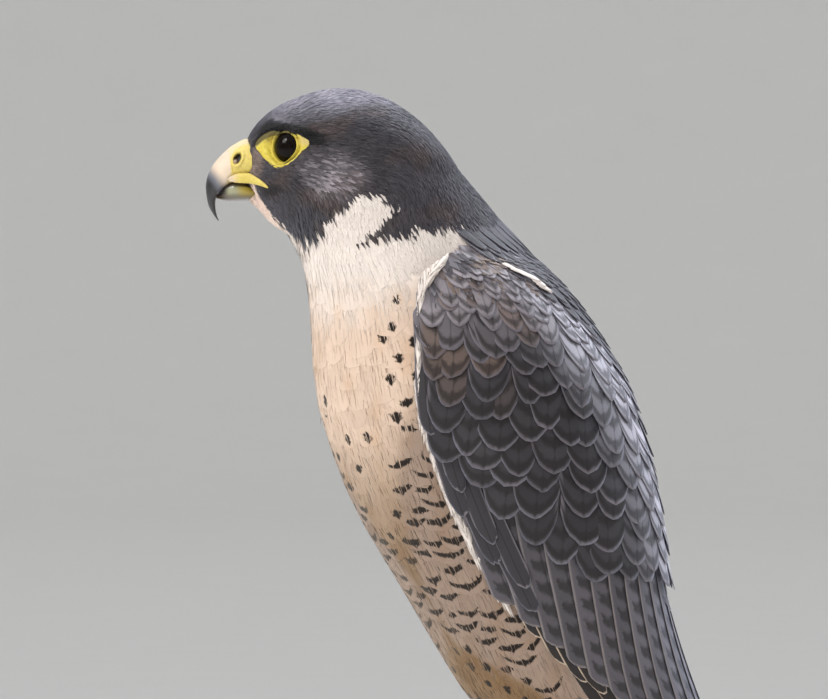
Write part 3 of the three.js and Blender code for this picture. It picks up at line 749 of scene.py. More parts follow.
def arrays_of(mesh, corners_each):
    """A mesh's places in the bird's millimetres, its normals and its faces' corners."""
    places = np.zeros(len(mesh.vertices) * 3, np.float32)
    mesh.vertices.foreach_get("co", places)
    normals = np.zeros(len(mesh.vertices) * 3, np.float32)
    mesh.vertices.foreach_get("normal", normals)
    corners = np.zeros(len(mesh.loops), np.int32)
    mesh.loops.foreach_get("vertex_index", corners)
    places = places.reshape(-1, 3) * 1000.0 - SHIFT
    return places, normals.reshape(-1, 3), corners.reshape(-1, corners_each)


def remeshed(points, faces, voxel):
    """One even closed surface round a heap of closed forms."""
    mesh = mesh_of("heap", points, faces)
    heap = bpy.data.objects.new("heap", mesh)
    bpy.context.scene.collection.objects.link(heap)
    step = heap.modifiers.new("even", "REMESH")
    step.mode = "VOXEL"
    step.voxel_size = voxel / 1000
    ease = heap.modifiers.new("ease", "SMOOTH")
    ease.factor = 0.5
    ease.iterations = 9
    graph = bpy.context.evaluated_depsgraph_get()
    result = arrays_of(bpy.data.meshes.new_from_object(heap.evaluated_get(graph)), 4)
    bpy.data.objects.remove(heap)
    return result


def shaped_skin(points, normals):
    """The even surface drawn in by the coat's depth, with the brow's ledge and bare rims set in."""
    forward, left, up = head_view(points)
    aside = np.where(left > 0, 1.0, -1.0)
    on_head = smooth(np.abs(left), 4, 9) * smooth(up, -30, -22)
    feathered = smooth(from_bare_eye(points), 0.5, 2.5)
    depth = SWELL + mix(0.8, 0.45, smooth(up, -34, -24))
    points = points - normals * depth[:, None]
    line = 6.6 + 0.045 * (forward - 18) - 0.006 * (forward - 18) ** 2
    brow = np.exp(-(((up - line) / 1.3) ** 2)) * smooth(forward, 5, 11) * smooth(forward, 29, 25)
    push = 1.9 * brow * on_head * feathered
    return points + (aside * push)[:, None] * ASIDE


class Skin:
    """The bird's skin, and the nearest place on it to any other."""

    def __init__(self, frame):
        points, normals, self.quads = remeshed(*flesh(frame), voxel=1.15)
        self.facing = face_directions(self.quads, normals)
        full = shaped_skin(points, normals)
        self.points = full - eye_beds(full)
        self.tree = BVHTree.FromPolygons(self.points.tolist(), self.quads.tolist())
        self.full_tree = BVHTree.FromPolygons(full.tolist(), self.quads.tolist())

    def nearest(self, points):
        """Nearest places and the surface's outward directions there."""
        flat = points.reshape(-1, 3)
        found = np.empty((len(flat), 6))
        for i, p in enumerate(flat):
            place, _, face, _ = self.tree.find_nearest(p)
            found[i, :3] = place
            found[i, 3:] = self.facing[face]
        found = found.reshape(*points.shape[:-1], 6)
        return found[..., :3], found[..., 3:]

    def from_side(self, forward, up, side):
        """Where a line from the head's side, at that place in its side view, meets the full head."""
        places = []
        for f, u in zip(np.ravel(forward), np.ravel(up)):
            start = head_place(f, side * 60.0, u)
            hit = self.full_tree.ray_cast(start, -side * ASIDE)
            places.append(hit[0] if hit[0] else head_place(f, side * 8.0, u))
        return np.array(places).reshape(*np.shape(forward), 3)


def face_directions(quads, normals, rounds=4):
    """The outward direction of each face, averaged with the faces round it."""
    for _ in range(rounds):
        faces = normals[quads].mean(axis=1)
        total = np.zeros_like(normals)
        for corner in range(4):
            np.add.at(total, quads[:, corner], faces)
        normals = unit(total)
    return unit(normals[quads].mean(axis=1))


def eye_beds(points):
    """How far the skin is drawn in under the bare skin round each eye."""
    _, left, up = head_view(points)
    inside = smooth(from_bare_eye(points), 0.1, -1.2)
    depth = 3.2 * inside * smooth(np.abs(left), 3, 6) * smooth(up, -12, -9)
    return (np.sign(left) * depth)[:, None] * ASIDE


def thinned(points, spacing, rng):
    """Indices of scattered points so that about one is left in each cell of its own spacing."""
    kept = []
    step = 1.25  # from one class of spacing to the next
    primes = np.array([73856093, 19349663, 83492791])  # so that few cells share a key
    classes = np.round(np.log(spacing) / math.log(step)).astype(int)
    for level in np.unique(classes):
        chosen = np.flatnonzero(classes == level)
        rng.shuffle(chosen)
        cell = np.floor(points[chosen] / step**level + rng.uniform(0, 1, 3)).astype(np.int64)
        key = np.bitwise_xor.reduce(cell * primes, axis=1)
        kept.append(chosen[np.unique(key, return_index=True)[1]])
    return np.concatenate(kept)


def scattered(skin, wanted, spacing, seed):
    """Places on the skin where wanted(points) is true, spaced by a length or by spacing(points)."""
    spacing_at = spacing if callable(spacing) else lambda points: np.full(len(points), spacing)
    rng = np.random.default_rng(seed)
    corners = skin.points[skin.quads]
    centre = corners.mean(axis=1)
    chosen = np.flatnonzero(wanted(centre))
    corners = corners[chosen]
    diagonals = np.cross(corners[:, 2] - corners[:, 0], corners[:, 3] - corners[:, 1])
    area = np.linalg.norm(diagonals, axis=1) / 2
    tries = 3.0  # for each place that is wanted
    count = rng.poisson(tries * area / spacing_at(centre[chosen]) ** 2)
    corners = np.repeat(corners, count, axis=0)
    s, t = rng.uniform(size=(2, len(corners), 1))
    low = mix(corners[:, 0], corners[:, 1], s)
    high = mix(corners[:, 3], corners[:, 2], s)
    points = mix(low, high, t)
    return points[thinned(points, spacing_at(points), rng)]


# The coat's map: each region of the skin has its own window.

def window(left, low, width, height, across, along):
    """Places in one window of the map, from shares across and along it."""
    across, along = np.clip(across, 0, 1), np.clip(along, 0, 1)
    return np.stack([left + width * across, low + height * along], -1)


def body_map(points):
    """Body, neck and thighs unrolled by bearing and height; the head unrolled round its own line."""
    section = body_at(points[..., 2])
    bearing = np.arctan2(points[..., 1] - section[..., 0], points[..., 0])
    turn = (bearing + np.pi) / (2 * np.pi)
    body = window(0.01, 0.01, 0.62, 0.55, turn, (points[..., 2] - 60) / 250)
    forward, left, up = head_view(points)
    around = (np.arctan2(up + 2, left) + np.pi) / (2 * np.pi)
    head = window(0.01, 0.58, 0.62, 0.4, around, (forward + 45) / 80)
    is_head = (points[..., 2] > HEAD_FROM)[..., None]
    return np.where(is_head, head, body)


def wing_map(side, z, bearing):
    """A wing's window, by height and bearing."""
    low = 0.01 if side > 0 else 0.5
    return window(0.65, low, 0.3, 0.45, (bearing + 60) / 155, (z - 15) / 290)


# Feathers

class Template:
    """One closed feather as a grid: its upper face, an underside and both ends."""

    def __init__(self, rows, columns, keel):
        self.rows, self.columns, self.keel = rows, columns, keel
        v = 1 - (1 - np.linspace(0, 1, rows)) ** 1.35
        u = np.sin(np.linspace(-np.pi / 2, np.pi / 2, columns))
        grid_v, grid_u = (g.ravel() for g in np.meshgrid(v, u, indexing="ij"))
        self.u = np.r_[grid_u, np.zeros(rows)] if keel else grid_u
        self.v = np.r_[grid_v, v] if keel else grid_v
        self.under = np.r_[np.zeros(rows * columns), np.ones(rows if keel else 0)]
        self.column = np.r_[np.tile(np.arange(columns), rows), np.full(rows, columns // 2)]
        self.column = self.column[: len(self.u)]
        self.faces = [self.quads(), self.ends()]
        self.triangles = 2 * len(self.faces[0]) + len(self.faces[1])

    def quads(self):
        found = []
        last = self.columns - 1
        for r in range(self.rows - 1):
            row, after = r * self.columns, (r + 1) * self.columns
            for c in range(last):
                found.append([row + c, after + c, after + c + 1, row + c + 1])
            if self.keel:
                middle = self.rows * self.columns + r
                found.append([row, middle, middle + 1, after])
                found.append([middle, row + last, after + last, middle + 1])
            else:
                found.append([row, row + last, after + last, after])
        return np.array(found)

    def ends(self):
        found = []
        last = self.columns - 1
        tip = (self.rows - 1) * self.columns
        middle = self.rows * self.columns
        for c in range(last):
            if self.keel:
                found.append([c, c + 1, middle])
                found.append([tip + c + 1, tip + c, middle + self.rows - 1])
            elif c:
                found.append([0, c, c + 1])
                found.append([tip, tip + c + 1, tip + c])
        return np.array(found)


TUFT = Template(4, 3, False)
PLUME = Template(6, 7, True)
SOFT_VANE = Template(6, 13, True)
VANE = Template(9, 15, True)
LONG_VANE = Template(26, 9, True)
WING_STRIPS = 26  # one for each secondary, primary and primary covert of a wing


class Coat:
    """Feathers gathered for one piece or several, each under the limit on triangles."""

    def __init__(self, name, slot):
        self.name, self.slot = name, slot
        self.groups = []

    def add(self, template, points, looks, bake, mirrored=False, normals=None):
        """points are (feathers, template's points, 3); looks hold a row for each feather."""
        normals = np.zeros_like(points) if normals is None else normals
        if len(points):
            self.groups.append((template, np.stack([points, normals]), looks, bake, mirrored))

    def pieces(self, materials, replaced=()):
        """Make the meshes; the first takes the place of the replaced nodes."""
        made = []
        batch, load = [], 0
        for group in self.split_groups():
            size = group[1].shape[1] * group[0].triangles
            if batch and load + size > MOST_TRIANGLES:
                made.append(self.build(batch, len(made), materials))
                batch, load = [], 0
            batch.append(group)
            load += size
        made.append(self.build(batch, len(made), materials))
        if replaced:
            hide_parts(*replaced)

    def split_groups(self):
        for template, points, looks, bake, mirrored in self.groups:
            most = max(1, (MOST_TRIANGLES // 3) // template.triangles)
            for start in range(0, points.shape[1], most):
                part = slice(start, start + most)
                chosen = {key: value[part] for key, value in looks.items()}
                yield template, points[:, part], chosen, bake[part], mirrored

    def build(self, batch, number, materials):
        points, normals, faces, bake = [], [], [], []
        layers = {"vane": [], "size": [], "ground": [], "fringe": [], "mark": []}
        start = 0
        for template, (places, facing), looks, roots, mirrored in batch:
            count, each = places.shape[:2]
            points.append(places.reshape(-1, 3))
            offsets = start + np.arange(count)[:, None, None] * each
            for face in template.faces:
                turned = face[:, ::-1] if mirrored else face
                faces.append((turned[None] + offsets).reshape(-1, face.shape[1]))
                wished = turned_to_faces(facing[:, turned], places[:, turned])
                normals.append(wished.reshape(-1, 3))
            vane = np.empty((count, each, 3))
            vane[..., 0] = template.u
            vane[..., 1] = template.v
            vane[..., 2] = looks["seed"][:, None]
            layers["vane"].append(vane.reshape(-1, 3))
            for key in ("size", "ground", "fringe", "mark"):
                values = looks[key]
                if values.ndim == 2:
                    values = np.repeat(values[:, None], each, axis=1)
                layers[key].append(values.reshape(-1, values.shape[-1]))
            patch = np.stack([template.u, template.v * 2 - 1], -1) * PATCH / 2
            bake.append((roots[:, None] + patch if roots.ndim == 2 else roots).reshape(-1, 2))
            start += count * each
        layers = {key: np.concatenate(values) for key, values in layers.items()}
        name = self.name if number == 0 else f"{self.name}_{number + 1}"
        points, normals, bake = (np.concatenate(parts) for parts in (points, normals, bake))
        mesh = mesh_of(name, points, faces, layers, bake, normals)
        return add_piece(name, mesh, materials[self.slot], self.slot)


def coat_of(name, slot, template, points, looks, bake, **more):
    """A coat of one group of feathers."""
    coat = Coat(name, slot)
    coat.add(template, points, looks, bake, **more)
    return coat


def turned_to_faces(wished, corners):
    """The wished normals of each face's corners, turned to the side that the face looks to."""
    diagonal = corners[..., 2, :] - corners[..., 0, :]
    look = np.cross(diagonal, corners[..., -1, :] - corners[..., 1, :])
    away = (wished * look[..., None, :]).sum(-1, keepdims=True) < 0
    return np.where(away, -wished, wished)


def looks_of(
    count, rng, width, length, ground, fringe, fringe_width=0.0, shaft=0.0, mark=0.0, strength=1.0
):
    """The looks of feathers as arrays: sizes in millimetres, colours as linear light.

    A mark is its place from the tip, half height, half width as a share, and spacing.
    """
    size = np.empty((count, 3))
    size[:, 0] = np.broadcast_to(width, count) / 2
    size[:, 1] = length
    size[:, 2] = shaft
    four = np.empty((count, 4))
    four[:, :3] = ground
    four[:, 3] = strength
    rim = np.empty((count, 4))
    rim[:, :3] = fringe
    rim[:, 3] = fringe_width
    return {
        "seed": rng.uniform(0, 1, count),
        "size": size,
        "ground": four,
        "fringe": rim,
        "mark": np.zeros((count, 4)) + mark,
    }


def vane_places(template, rng, count, pointed, ragged, narrow_root=0.55, taper=0.0, sharp=0.0):
    """Each template point's share across and along, with the rounded and ragged outline worked in."""
    u, v = template.u, template.v
    width = mix(narrow_root, 1.0, smooth(v, 0, 0.45)) * (1 - taper * v**2)
    across = np.broadcast_to(u * width, (count, len(u))).copy()
    pointed = np.broadcast_to(pointed, (count,))[:, None]
    round_tip = 1 - np.sqrt(np.maximum(0, 1 - (0.985 * u) ** 2))
    along = v * (1 - pointed * mix(round_tip, np.abs(u) ** 1.5, sharp))
    notch = rng.uniform(0, 1, (count, template.columns))[:, template.column]
    along = along * (1 - ragged * notch * v**3)
    return across, along


def held(found, guess, reach):
    """Places found on the skin, kept from jumping over a gap to another part of it."""
    off = found - guess
    far = np.linalg.norm(off, axis=-1, keepdims=True)
    return guess + off * np.minimum(1.0, reach / np.maximum(far, 1e-9))


def lay(skin, template, roots, ways, length, width, rng, base=0.15, lift=0.8, roll=0.0,
        camber=0.3, thick=0.15, pointed=0.6, ragged=0.1, taper=0.2, curl=1.5, sharp=0.0, close=False):
    """Feathers over the skin, as places and normals of (feathers, points, 3).

    Each is bent to the skin through nine places, or with close through every one of its points.
    The normals are nearly the skin's own, so that the coat is shaded softly.
    """
    count = len(roots)
    length = np.broadcast_to(length, (count,)).astype(float)
    width = np.broadcast_to(width, (count,)).astype(float)
    _, normal = skin.nearest(roots)
    ways = unit(ways - (ways * normal).sum(-1, keepdims=True) * normal)
    side = np.cross(normal, ways)
    across, along = vane_places(template, rng, count, pointed, ragged, taper=taper, sharp=sharp)
    if close:
        guess = roots[:, None] + ways[:, None] * (along * length[:, None])[..., None]
        guess = guess + side[:, None] * (across * width[:, None] / 2)[..., None]
        places, out = skin.nearest(guess)
        places = held(places, guess, MOST_STRAY * length[:, None, None])
    else:
        v3 = np.array([0, 0.5, 1.0])[None, :, None, None]
        u3 = np.array([-1.0, 0, 1.0])[None, None, :, None]
        guess = roots[:, None, None] + ways[:, None, None] * v3 * length[:, None, None, None]
        guess = guess + side[:, None, None] * u3 * width[:, None, None, None] / 2
        control, facing = skin.nearest(guess)
        control = held(control, guess, MOST_STRAY * length[:, None, None, None])
        root_share, tip_share = (1 - along) * (1 - 2 * along), along * (2 * along - 1)
        wv = np.stack([root_share, 4 * along * (1 - along), tip_share], -1)
        wu = np.stack([across * (across - 1) / 2, 1 - across**2, across * (across + 1) / 2], -1)
        places = np.einsum("ntv,ntu,nvuk->ntk", wv, wu, control)
        out = unit(np.einsum("ntv,ntu,nvuk->ntk", wv, wu, facing))
    base = np.broadcast_to(base, (count,))[:, None]
    lift = np.broadcast_to(lift, (count,))[:, None]
    height = base + lift * along**curl + roll * across - camber * across**2 - thick * template.under
    facing = unit(out + 0.2 * across[..., None] * side[:, None] + 0.12 * ways[:, None])
    return places + out * height[..., None], facing


def flow(points):
    """The lie of the small feathers: back over the head, then down the neck and body."""
    forward, _, up = head_view(points)
    low = smooth(up, -7, -20)
    behind = smooth(forward, -10, -34)
    slant = np.radians(np.clip(10 + 66 * low + 62 * behind, 0, 84))
    head = -AHEAD * np.cos(slant)[:, None] - UP * np.sin(slant)[:, None]
    z = points[:, 2]
    lean = (body_at(z - 3)[:, 0] - body_at(z + 3)[:, 0]) / 6
    body = unit(np.stack([0 * z, lean, -np.ones_like(z)], -1))
    on_head = smooth(z, 300, 318)[:, None]
    return unit(mix(body, head, on_head))


# Markings

def hood_depth(points):
    """Positive inside the dark hood, in millimetres from its edge. The throat's middle is pale."""
    forward, left, up = head_view(points)
    depth = -outside(side_view(points), HOOD)
    throat = (forward > 2) & (up < -14)
    return np.where(throat, np.minimum(depth, (np.abs(left) - 4.6) * 1.2), depth)


def bearing_of(points):
    """Bearing round the body, the same on both sides: -90 at the breast, 90 at the back."""
    section = body_at(points[..., 2])
    y = (points[..., 1] - section[..., 0]) / section[..., 2]
    return np.degrees(np.arctan2(y, np.abs(points[..., 0]) / section[..., 1]))


def from_breastbone(points):
    """Degrees round the body from the breast's middle line."""
    return np.abs(bearing_of(points) + 90)


def dark_back(points):
    """Positive on the dark back below the hood, in degrees from its edge."""
    z = points[..., 2]
    edge = np.interp(z, [200, 252, 285, 296, 301, 306, 312], [70, 50, 27, 18, 10, 3, 2])
    return bearing_of(points) - edge


def underside(points):
    """The pale colour of throat, breast, belly and flank by place."""
    z = points[..., 2]
    around = from_breastbone(points)
    creamy = smooth(z - 0.1 * around + 5 * waves(points, 40, 3), 268, 292)
    high = mix(BREAST, CREAM, creamy[..., None])
    # Painted shade: the tawny belly turns darker low down, where less light falls.
    low = mix(BELLY_WITH_SHADE, BREAST, smooth(z - 0.4 * around, 186, 256)[..., None])
    pale = mix(low, high, smooth(z, 225, 262)[..., None])
    pale = mix(pale, FLANK, flank_share(points)[..., None])
    pale = mix(pale, THIGH_PALE, smooth(z, 152, 130)[..., None])
    tawny = smooth(waves(points * np.array([1.0, 1.0, 0.4]), 9, 6), 0.0, 0.9) * smooth(z, 296, 284)
    pale = pale * mix(np.ones(3), np.array([0.93, 0.87, 0.8]), tawny[..., None])
    return pale * (1 + 0.04 * waves(points, 14, 5))[..., None]


def hood_colour(points, streak, rng):
    """The dark hood: grey crown with painted top light, blackish face, flecked cheek, and the brow's
    painted shadow as a black line over the eye.
    """
    forward, left, up = head_view(points)
    # Painted top light: the crown's slate turns paler towards the top of the head.
    crown = smooth(up + 0.12 * forward + 1.5 * waves(points, 16, 23), 7, 19)
    dark = mix(FACE, CROWN_AND_TOP_LIGHT, crown[:, None])
    dark = mix(dark, NAPE, (smooth(forward, -12, -30) * (1 - crown))[:, None])
    on_side = smooth(np.abs(left), 6, 10)
    cheek = smooth(np.hypot((forward - 1) / 13, (up + 9) / 10), 1.1, 0.3) * on_side
    fleck = (0.2 + 0.6 * (rng.uniform(size=len(points)) < 0.4)) * cheek
    brown = smooth(waves(points, 18, 24), 0.0, 0.7) * (1 - crown) * on_side
    dark = mix(dark, srgb(72, 60, 56), (0.6 * brown)[:, None])
    dark = mix(dark, CHEEK_FLECK, fleck[:, None])
    # Painted shadow: a black line over the eye, where the brow's ledge shades it.
    line = np.interp(forward, [4, 8, 12, 17, 24, 28, 31], [3.2, 3.6, 5.2, 6.6, 6.7, 5.0, 4.2])
    thick = np.interp(forward, [2, 8, 12, 18, 24, 28, 31], [0.6, 1.9, 1.5, 1.2, 1.7, 2.8, 2.4])
    brow = smooth(np.abs(up - line), thick + 1.4, thick) * smooth(forward, 1, 6) * on_side
    behind_eye = smooth(from_bare_eye(points), 3.0, 0.2) * smooth(forward, 14, 9) * on_side
    dark = mix(dark, BLACK, np.clip(brow + 0.75 * behind_eye, 0, 1)[:, None])
    gape_shade = smooth(np.hypot((forward - 21.5) / 4, (up + 13.5) / 2.2), 1.4, 0.5) * on_side
    dark = mix(dark, BLACK, 0.8 * gape_shade[:, None])
    lore = smooth(np.hypot((forward - 27.5) / 3.4, (up + 4.5) / 5.0), 1.25, 0.7) * on_side
    dark = mix(dark, LORE, lore[:, None])
    return dark * (1 + 0.2 * streak + 0.12 * waves(points, 9, 21))[:, None]


def small_feather_colour(points, rng, scatter=1.0):
    """Colour of the tufts of head, neck and throat at their visible ends."""
    forward, _, up = head_view(points)
    streak = rng.normal(size=len(points))
    dark = hood_colour(points, streak, rng)
    on_back = np.where(points[:, 2] < 306, dark_back(points) * 0.6, -99)
    inside = np.maximum(hood_depth(points), on_back)
    chin = smooth(forward, 16, 22) * smooth(up, -34, -20)
    scatter = scatter * 0.7 * (1 - 0.85 * chin)
    strays = scatter * rng.normal(size=len(points))
    inside = inside + strays + 0.8 * (1 - chin) * waves(points, 7, 8)
    pale = underside(points) * (1 + (0.03 + 0.05 * chin) * streak)[:, None]
    chin_colour = srgb(228, 200, 184) * (1 + 0.08 * streak)[:, None]
    pale = mix(pale, chin_colour, (0.8 * chin)[:, None])
    return np.clip(mix(pale, dark, smooth(inside, -0.25, 0.25)[:, None]), 0.003, 0.95)


# Tracts of feathers

def head_spacing(points):
    """Distance between tufts: closest at the bill and the eyes, wider down the neck and breast."""
    forward, left, up = head_view(points)
    near_face = smooth(forward, 12, 26)
    near_eye = smooth(from_bare_eye(points), 6, 1) * smooth(np.abs(left), 6, 9)
    fine = np.maximum(near_face, near_eye)
    size = mix(1.02, 0.7, fine)
    size = mix(size, 1.7, smooth(up, -18, -34))
    return mix(size, 2.7, smooth(up, -38, -60))


def wants_tuft(points):
    """Where the head, neck, throat and upper breast carry small tufts."""
    forward, left, up = head_view(points)
    at_eye = (from_bare_eye(points) < 0.1) & (np.abs(left) > 5)
    at_mouth = (forward > 26) & (up < -10.6) & (up > -13.4) & (np.abs(left) < 7)
    below = points[:, 2] < 296
    hidden = below & (covered_by_wing(points) | (dark_back(points) > 4))
    return (points[:, 2] > 280) & ~at_eye & ~at_mouth & (forward < 31) & ~hidden


def head_tufts(skin):
    """The small tufts of head, neck and throat, as one dark coat and one pale one."""
    roots = scattered(skin, wants_tuft, head_spacing, seed=1)
    rng = np.random.default_rng(2)
    roots = roots[rng.uniform(size=len(roots)) < smooth(roots[:, 2], 280, 298)]
    spacing = head_spacing(roots)
    count = len(roots)
    length = spacing * 3.5 * rng.uniform(0.85, 1.2, count)
    ways = unit(flow(roots) + 0.09 * rng.normal(size=(count, 3)))
    clear = clear_of_eye(roots, roots + ways * length[:, None])
    roots, spacing, length, ways = (v[clear] for v in (roots, spacing, length, ways))
    count = len(roots)
    seen = roots + ways * (0.7 * length)[:, None]
    colour = small_feather_colour(seen, rng)
    dark = colour[:, 0] < 0.2
    width = spacing * np.where(dark, 1.35, 2.2) * rng.uniform(0.8, 1.2, count)
    puff = throat_puff(roots)
    lift = spacing * np.where(dark, 0.32, 0.16) + 0.08 + 0.25 * puff
    points, normals = lay(
        skin, TUFT, roots, ways, length, width, rng, base=0.05 + 0.8 * puff, lift=lift,
        camber=0.16, thick=0.0, pointed=0.75, ragged=0.15, taper=0.35,
    )
    fringe = np.clip(colour * np.where(dark, 1.45, 1.05)[:, None], 0, 0.95)
    looks = looks_of(count, rng, width, length, colour, fringe, 0.28)

    def part(name, slot, chosen):
        own = {key: value[chosen] for key, value in looks.items()}
        bake = body_map(roots[chosen])
        return coat_of(name, slot, TUFT, points[chosen], own, bake, normals=normals[chosen])

    return [
        part("head_coat", "slate_plumage", dark),
        part("throat_coat", "pale_plumage", ~dark),
    ]


def throat_puff(points):
    """How much fuller the coat stands under the chin, in millimetres."""
    forward, _, up = head_view(points)
    return 1.5 * smooth(np.hypot((forward - 18) / 9, (up + 24) / 9), 1.3, 0.3)


def clear_of_eye(roots, tips):
    """True for tufts that stay off the bare skin round the eye."""
    clear = np.ones(len(roots), bool)
    for share in (0.5, 1.0):
        places = mix(roots, tips, share)
        at_side = np.abs(head_view(places)[1]) > 5
        clear &= ~((from_bare_eye(places) < -0.25) & at_side)
    return clear


def body_rows(top, bottom, pitch, around, rng):
    """Heights and bearings of feathers in staggered rows round the whole body."""
    heights, bearings = [], []
    for i, z in enumerate(np.arange(top, bottom, -pitch)):
        turn = (np.arange(around) + 0.5 * (i % 2)) * 360 / around - 90
        heights.append(z + rng.uniform(-0.22, 0.22, around) * pitch)
        bearings.append(turn + rng.uniform(-0.14, 0.14, around) * 360 / around)
    return np.concatenate(heights), np.concatenate(bearings)


def wing_front(points):
    """Bearing of the front edge of the wing on the points' own side."""
    return edge_at(points[:, 2])[:, 0] + np.where(points[:, 0] > 0, 0.0, RIGHT_TUCK)


def covered_by_wing(points):
    """Where the folded wing's feathers hide the body's own."""
    z = points[:, 2]
    overlap = 11  # degrees that the body's feathers run in under the wing
    return (bearing_of(points) > wing_front(points) + overlap) & (z > 135) & (z < 297)


def under_wing(points):
    """Where the skin is the dark bulk under a folded wing or the back."""
    z = points[:, 2]
    section = wing_form(z)
    across = np.abs(points[:, 0]) / section[:, 1]
    along = (points[:, 1] - section[:, 0]) / section[:, 2]
    bearing = np.degrees(np.arctan2(along, across))
    proud = (np.hypot(across, along) - 1) * 45
    on_slab = (bearing > wing_front(points) + 0.5) & (proud > -4.5)
    slab_low, slab_high = 150, 304
    return on_slab & (z < slab_high) & (z > slab_low)


def flank_share(points):
    """1 on the barred grey flank, 0 on the tawny breast and belly."""
    z = points[..., 2]
    around = from_breastbone(points)
    limit = np.interp(z, [140, 156, 171, 183, 209, 230, 250], [60, 39, 2, -2, 11, 22, 34])
    return smooth(around, limit - 3, limit + 5) * smooth(z, 256, 236)


def breast_marks(points, rng):
    """Spots on the breast that turn to bars on the flank: place, half height, half width, spacing."""
    z = points[:, 2]
    around = from_breastbone(points)
    count = len(points)
    flank = flank_share(points)
    mark = np.zeros((count, 4))
    mark[:, 0] = 3.3 + rng.uniform(-0.4, 0.4, count)
    mark[:, 1] = mix(1.25, 1.05, flank) * rng.uniform(0.8, 1.2, count)
    mark[:, 2] = mix(0.19, 0.68, flank) * rng.uniform(0.85, 1.15, count)
    mark[:, 3] = UNBARRED
    from_side = smooth(around, 6, 34)
    chance = smooth(z + 26 * from_side, 270, 242) * mix(0.5, 1.0, np.maximum(from_side, flank))
    chance = np.maximum(chance, smooth(around, 26, 33) * smooth(z, 284, 279))
    marked = rng.uniform(size=count) < chance
    mark[~marked, 1] = 0  # no height, so no mark
    return mark


def body_feathers(skin):
    """Breast, belly and flanks: broad soft feathers in rows, marked towards their tips."""
    rng = np.random.default_rng(31)
    around = 30
    z, bearing = body_rows(304, 96, 6.0, around, rng)
    roots, _ = skin.nearest(on_body(z, bearing))
    below, _ = skin.nearest(on_body(z - 5, bearing))
    keep = ~covered_by_wing(roots) & (dark_back(roots) < 3)
    roots, below, z, bearing = roots[keep], below[keep], z[keep], bearing[keep]
    count = len(roots)
    six_degrees = np.linalg.norm(on_body(z, bearing + 3) - on_body(z, bearing - 3), axis=1)
    room = six_degrees / 6 * 360 / around
    length = mix(19.0, 22.0, smooth(z, 290, 240)) * rng.uniform(0.9, 1.1, count)
    width = room * 1.75 * rng.uniform(0.9, 1.12, count)
    points, normals = lay(
        skin, SOFT_VANE, roots, below - roots, length, width, rng, base=0.1,
        lift=0.24 * rng.uniform(0.8, 1.2, count), roll=0.02 * rng.normal(size=(count, 1)),
        camber=0.05, thick=0.03, pointed=0.36, ragged=0.05, taper=0.05, curl=1.0, close=True,
    )
    tip = SOFT_VANE.columns * (SOFT_VANE.rows - 1) + SOFT_VANE.columns // 2
    tips = points[:, tip]
    mark = breast_marks(tips, rng)
    fringe_width = 3.4
    looks = looks_of(count, rng, width, length, 0.0, 0.0, fringe_width, 0.1, mark)
    # The colour goes by place and not by feather, so that the feathers melt into each other.
    colour = underside(points) * (1 + 0.02 * rng.normal(size=(count, 1, 1)))
    warm = np.array([0.985, 0.975, 0.96])
    whole = np.ones((*points.shape[:2], 1))
    looks["ground"] = np.concatenate([np.clip(colour * warm, 0, 0.95), whole], -1)
    looks["fringe"] = np.concatenate([np.clip(colour, 0, 0.95), fringe_width * whole], -1)
    bake = body_map(roots)
    return coat_of(
        "breast_coat", "barred_plumage", SOFT_VANE, points, looks, bake, normals=normals
    )


def breast_wisps(skin):
    """Loose fine barbs that break the edges of the breast's broad feathers."""
    def wanted(points):
        z = points[:, 2]
        bare = covered_by_wing(points) | (dark_back(points) > -3)
        return (z > 150) & (z < 300) & ~bare & ~(near_thigh(points) & (z < 176))

    roots = scattered(skin, wanted, 2.3, seed=35)
    rng = np.random.default_rng(36)
    count = len(roots)
    ways = unit(flow(roots) + 0.07 * rng.normal(size=(count, 3)))
    length = rng.uniform(6, 11, count)
    width = rng.uniform(0.5, 1.1, count)
    points, normals = lay(
        skin, TUFT, roots, ways, length, width, rng, base=0.22, lift=0.24, camber=0.03,
        thick=0.0, pointed=0.8, ragged=0.1, taper=0.6,
    )
    colour = np.clip(underside(roots) * rng.uniform(0.93, 1.05, (count, 1)), 0, 0.95)
    looks = looks_of(count, rng, width, length, colour, colour)
    bake = body_map(roots)
    return coat_of("breast_wisps", "pale_plumage", TUFT, points, looks, bake, normals=normals)


def thigh_tufts(skin):
    """The feathered thighs, finely barred down to the bare leg."""
    def wanted(points):
        return (points[:, 2] < 176) & (points[:, 2] > 62) & near_thigh(points)

    def spacing(points):
        return mix(1.9, 3.3, smooth(points[:, 2], 66, 120))

    roots = scattered(skin, wanted, spacing, seed=41)
    rng = np.random.default_rng(42)
    count = len(roots)
    gap = spacing(roots)
    length = gap * 3.6 * rng.uniform(0.9, 1.1, count)
    width = gap * 1.6
    ways = np.tile(np.array([0.0, 0.06, -1.0]), (count, 1)) + 0.06 * rng.normal(size=(count, 3))
    points, normals = lay(
        skin, PLUME, roots, ways, length, width, rng, base=0.1, lift=0.3 * gap,
        camber=0.3, thick=0.2, pointed=0.5, ragged=0.1,
    )
    colour = mix(THIGH_PALE, underside(roots), smooth(roots[:, 2], 148, 170)[:, None])
    colour = colour * (1 + 0.05 * rng.normal(size=(count, 1)))
    mark = (2.4, 0.42, 0.8, UNBARRED)
    fringe = np.clip(colour * 1.1, 0, 1)
    looks = looks_of(count, rng, width, length, colour, fringe, 0.8, 0.1, mark)
    bake = body_map(roots)
    return coat_of("thigh_coat", "barred_plumage", PLUME, points, looks, bake, normals=normals)


def near_thigh(points):
    """Where the skin is a thigh's, inside an ellipse a little wider than its section."""
    section = thigh_at(points[..., 2])
    x = (np.abs(points[..., 0]) - section[..., 0]) / (section[..., 2] + 1.5)
    y = (points[..., 1] - section[..., 1]) / (section[..., 3] + 1.5)
    return x**2 + y**2 < 1.25


# Wings

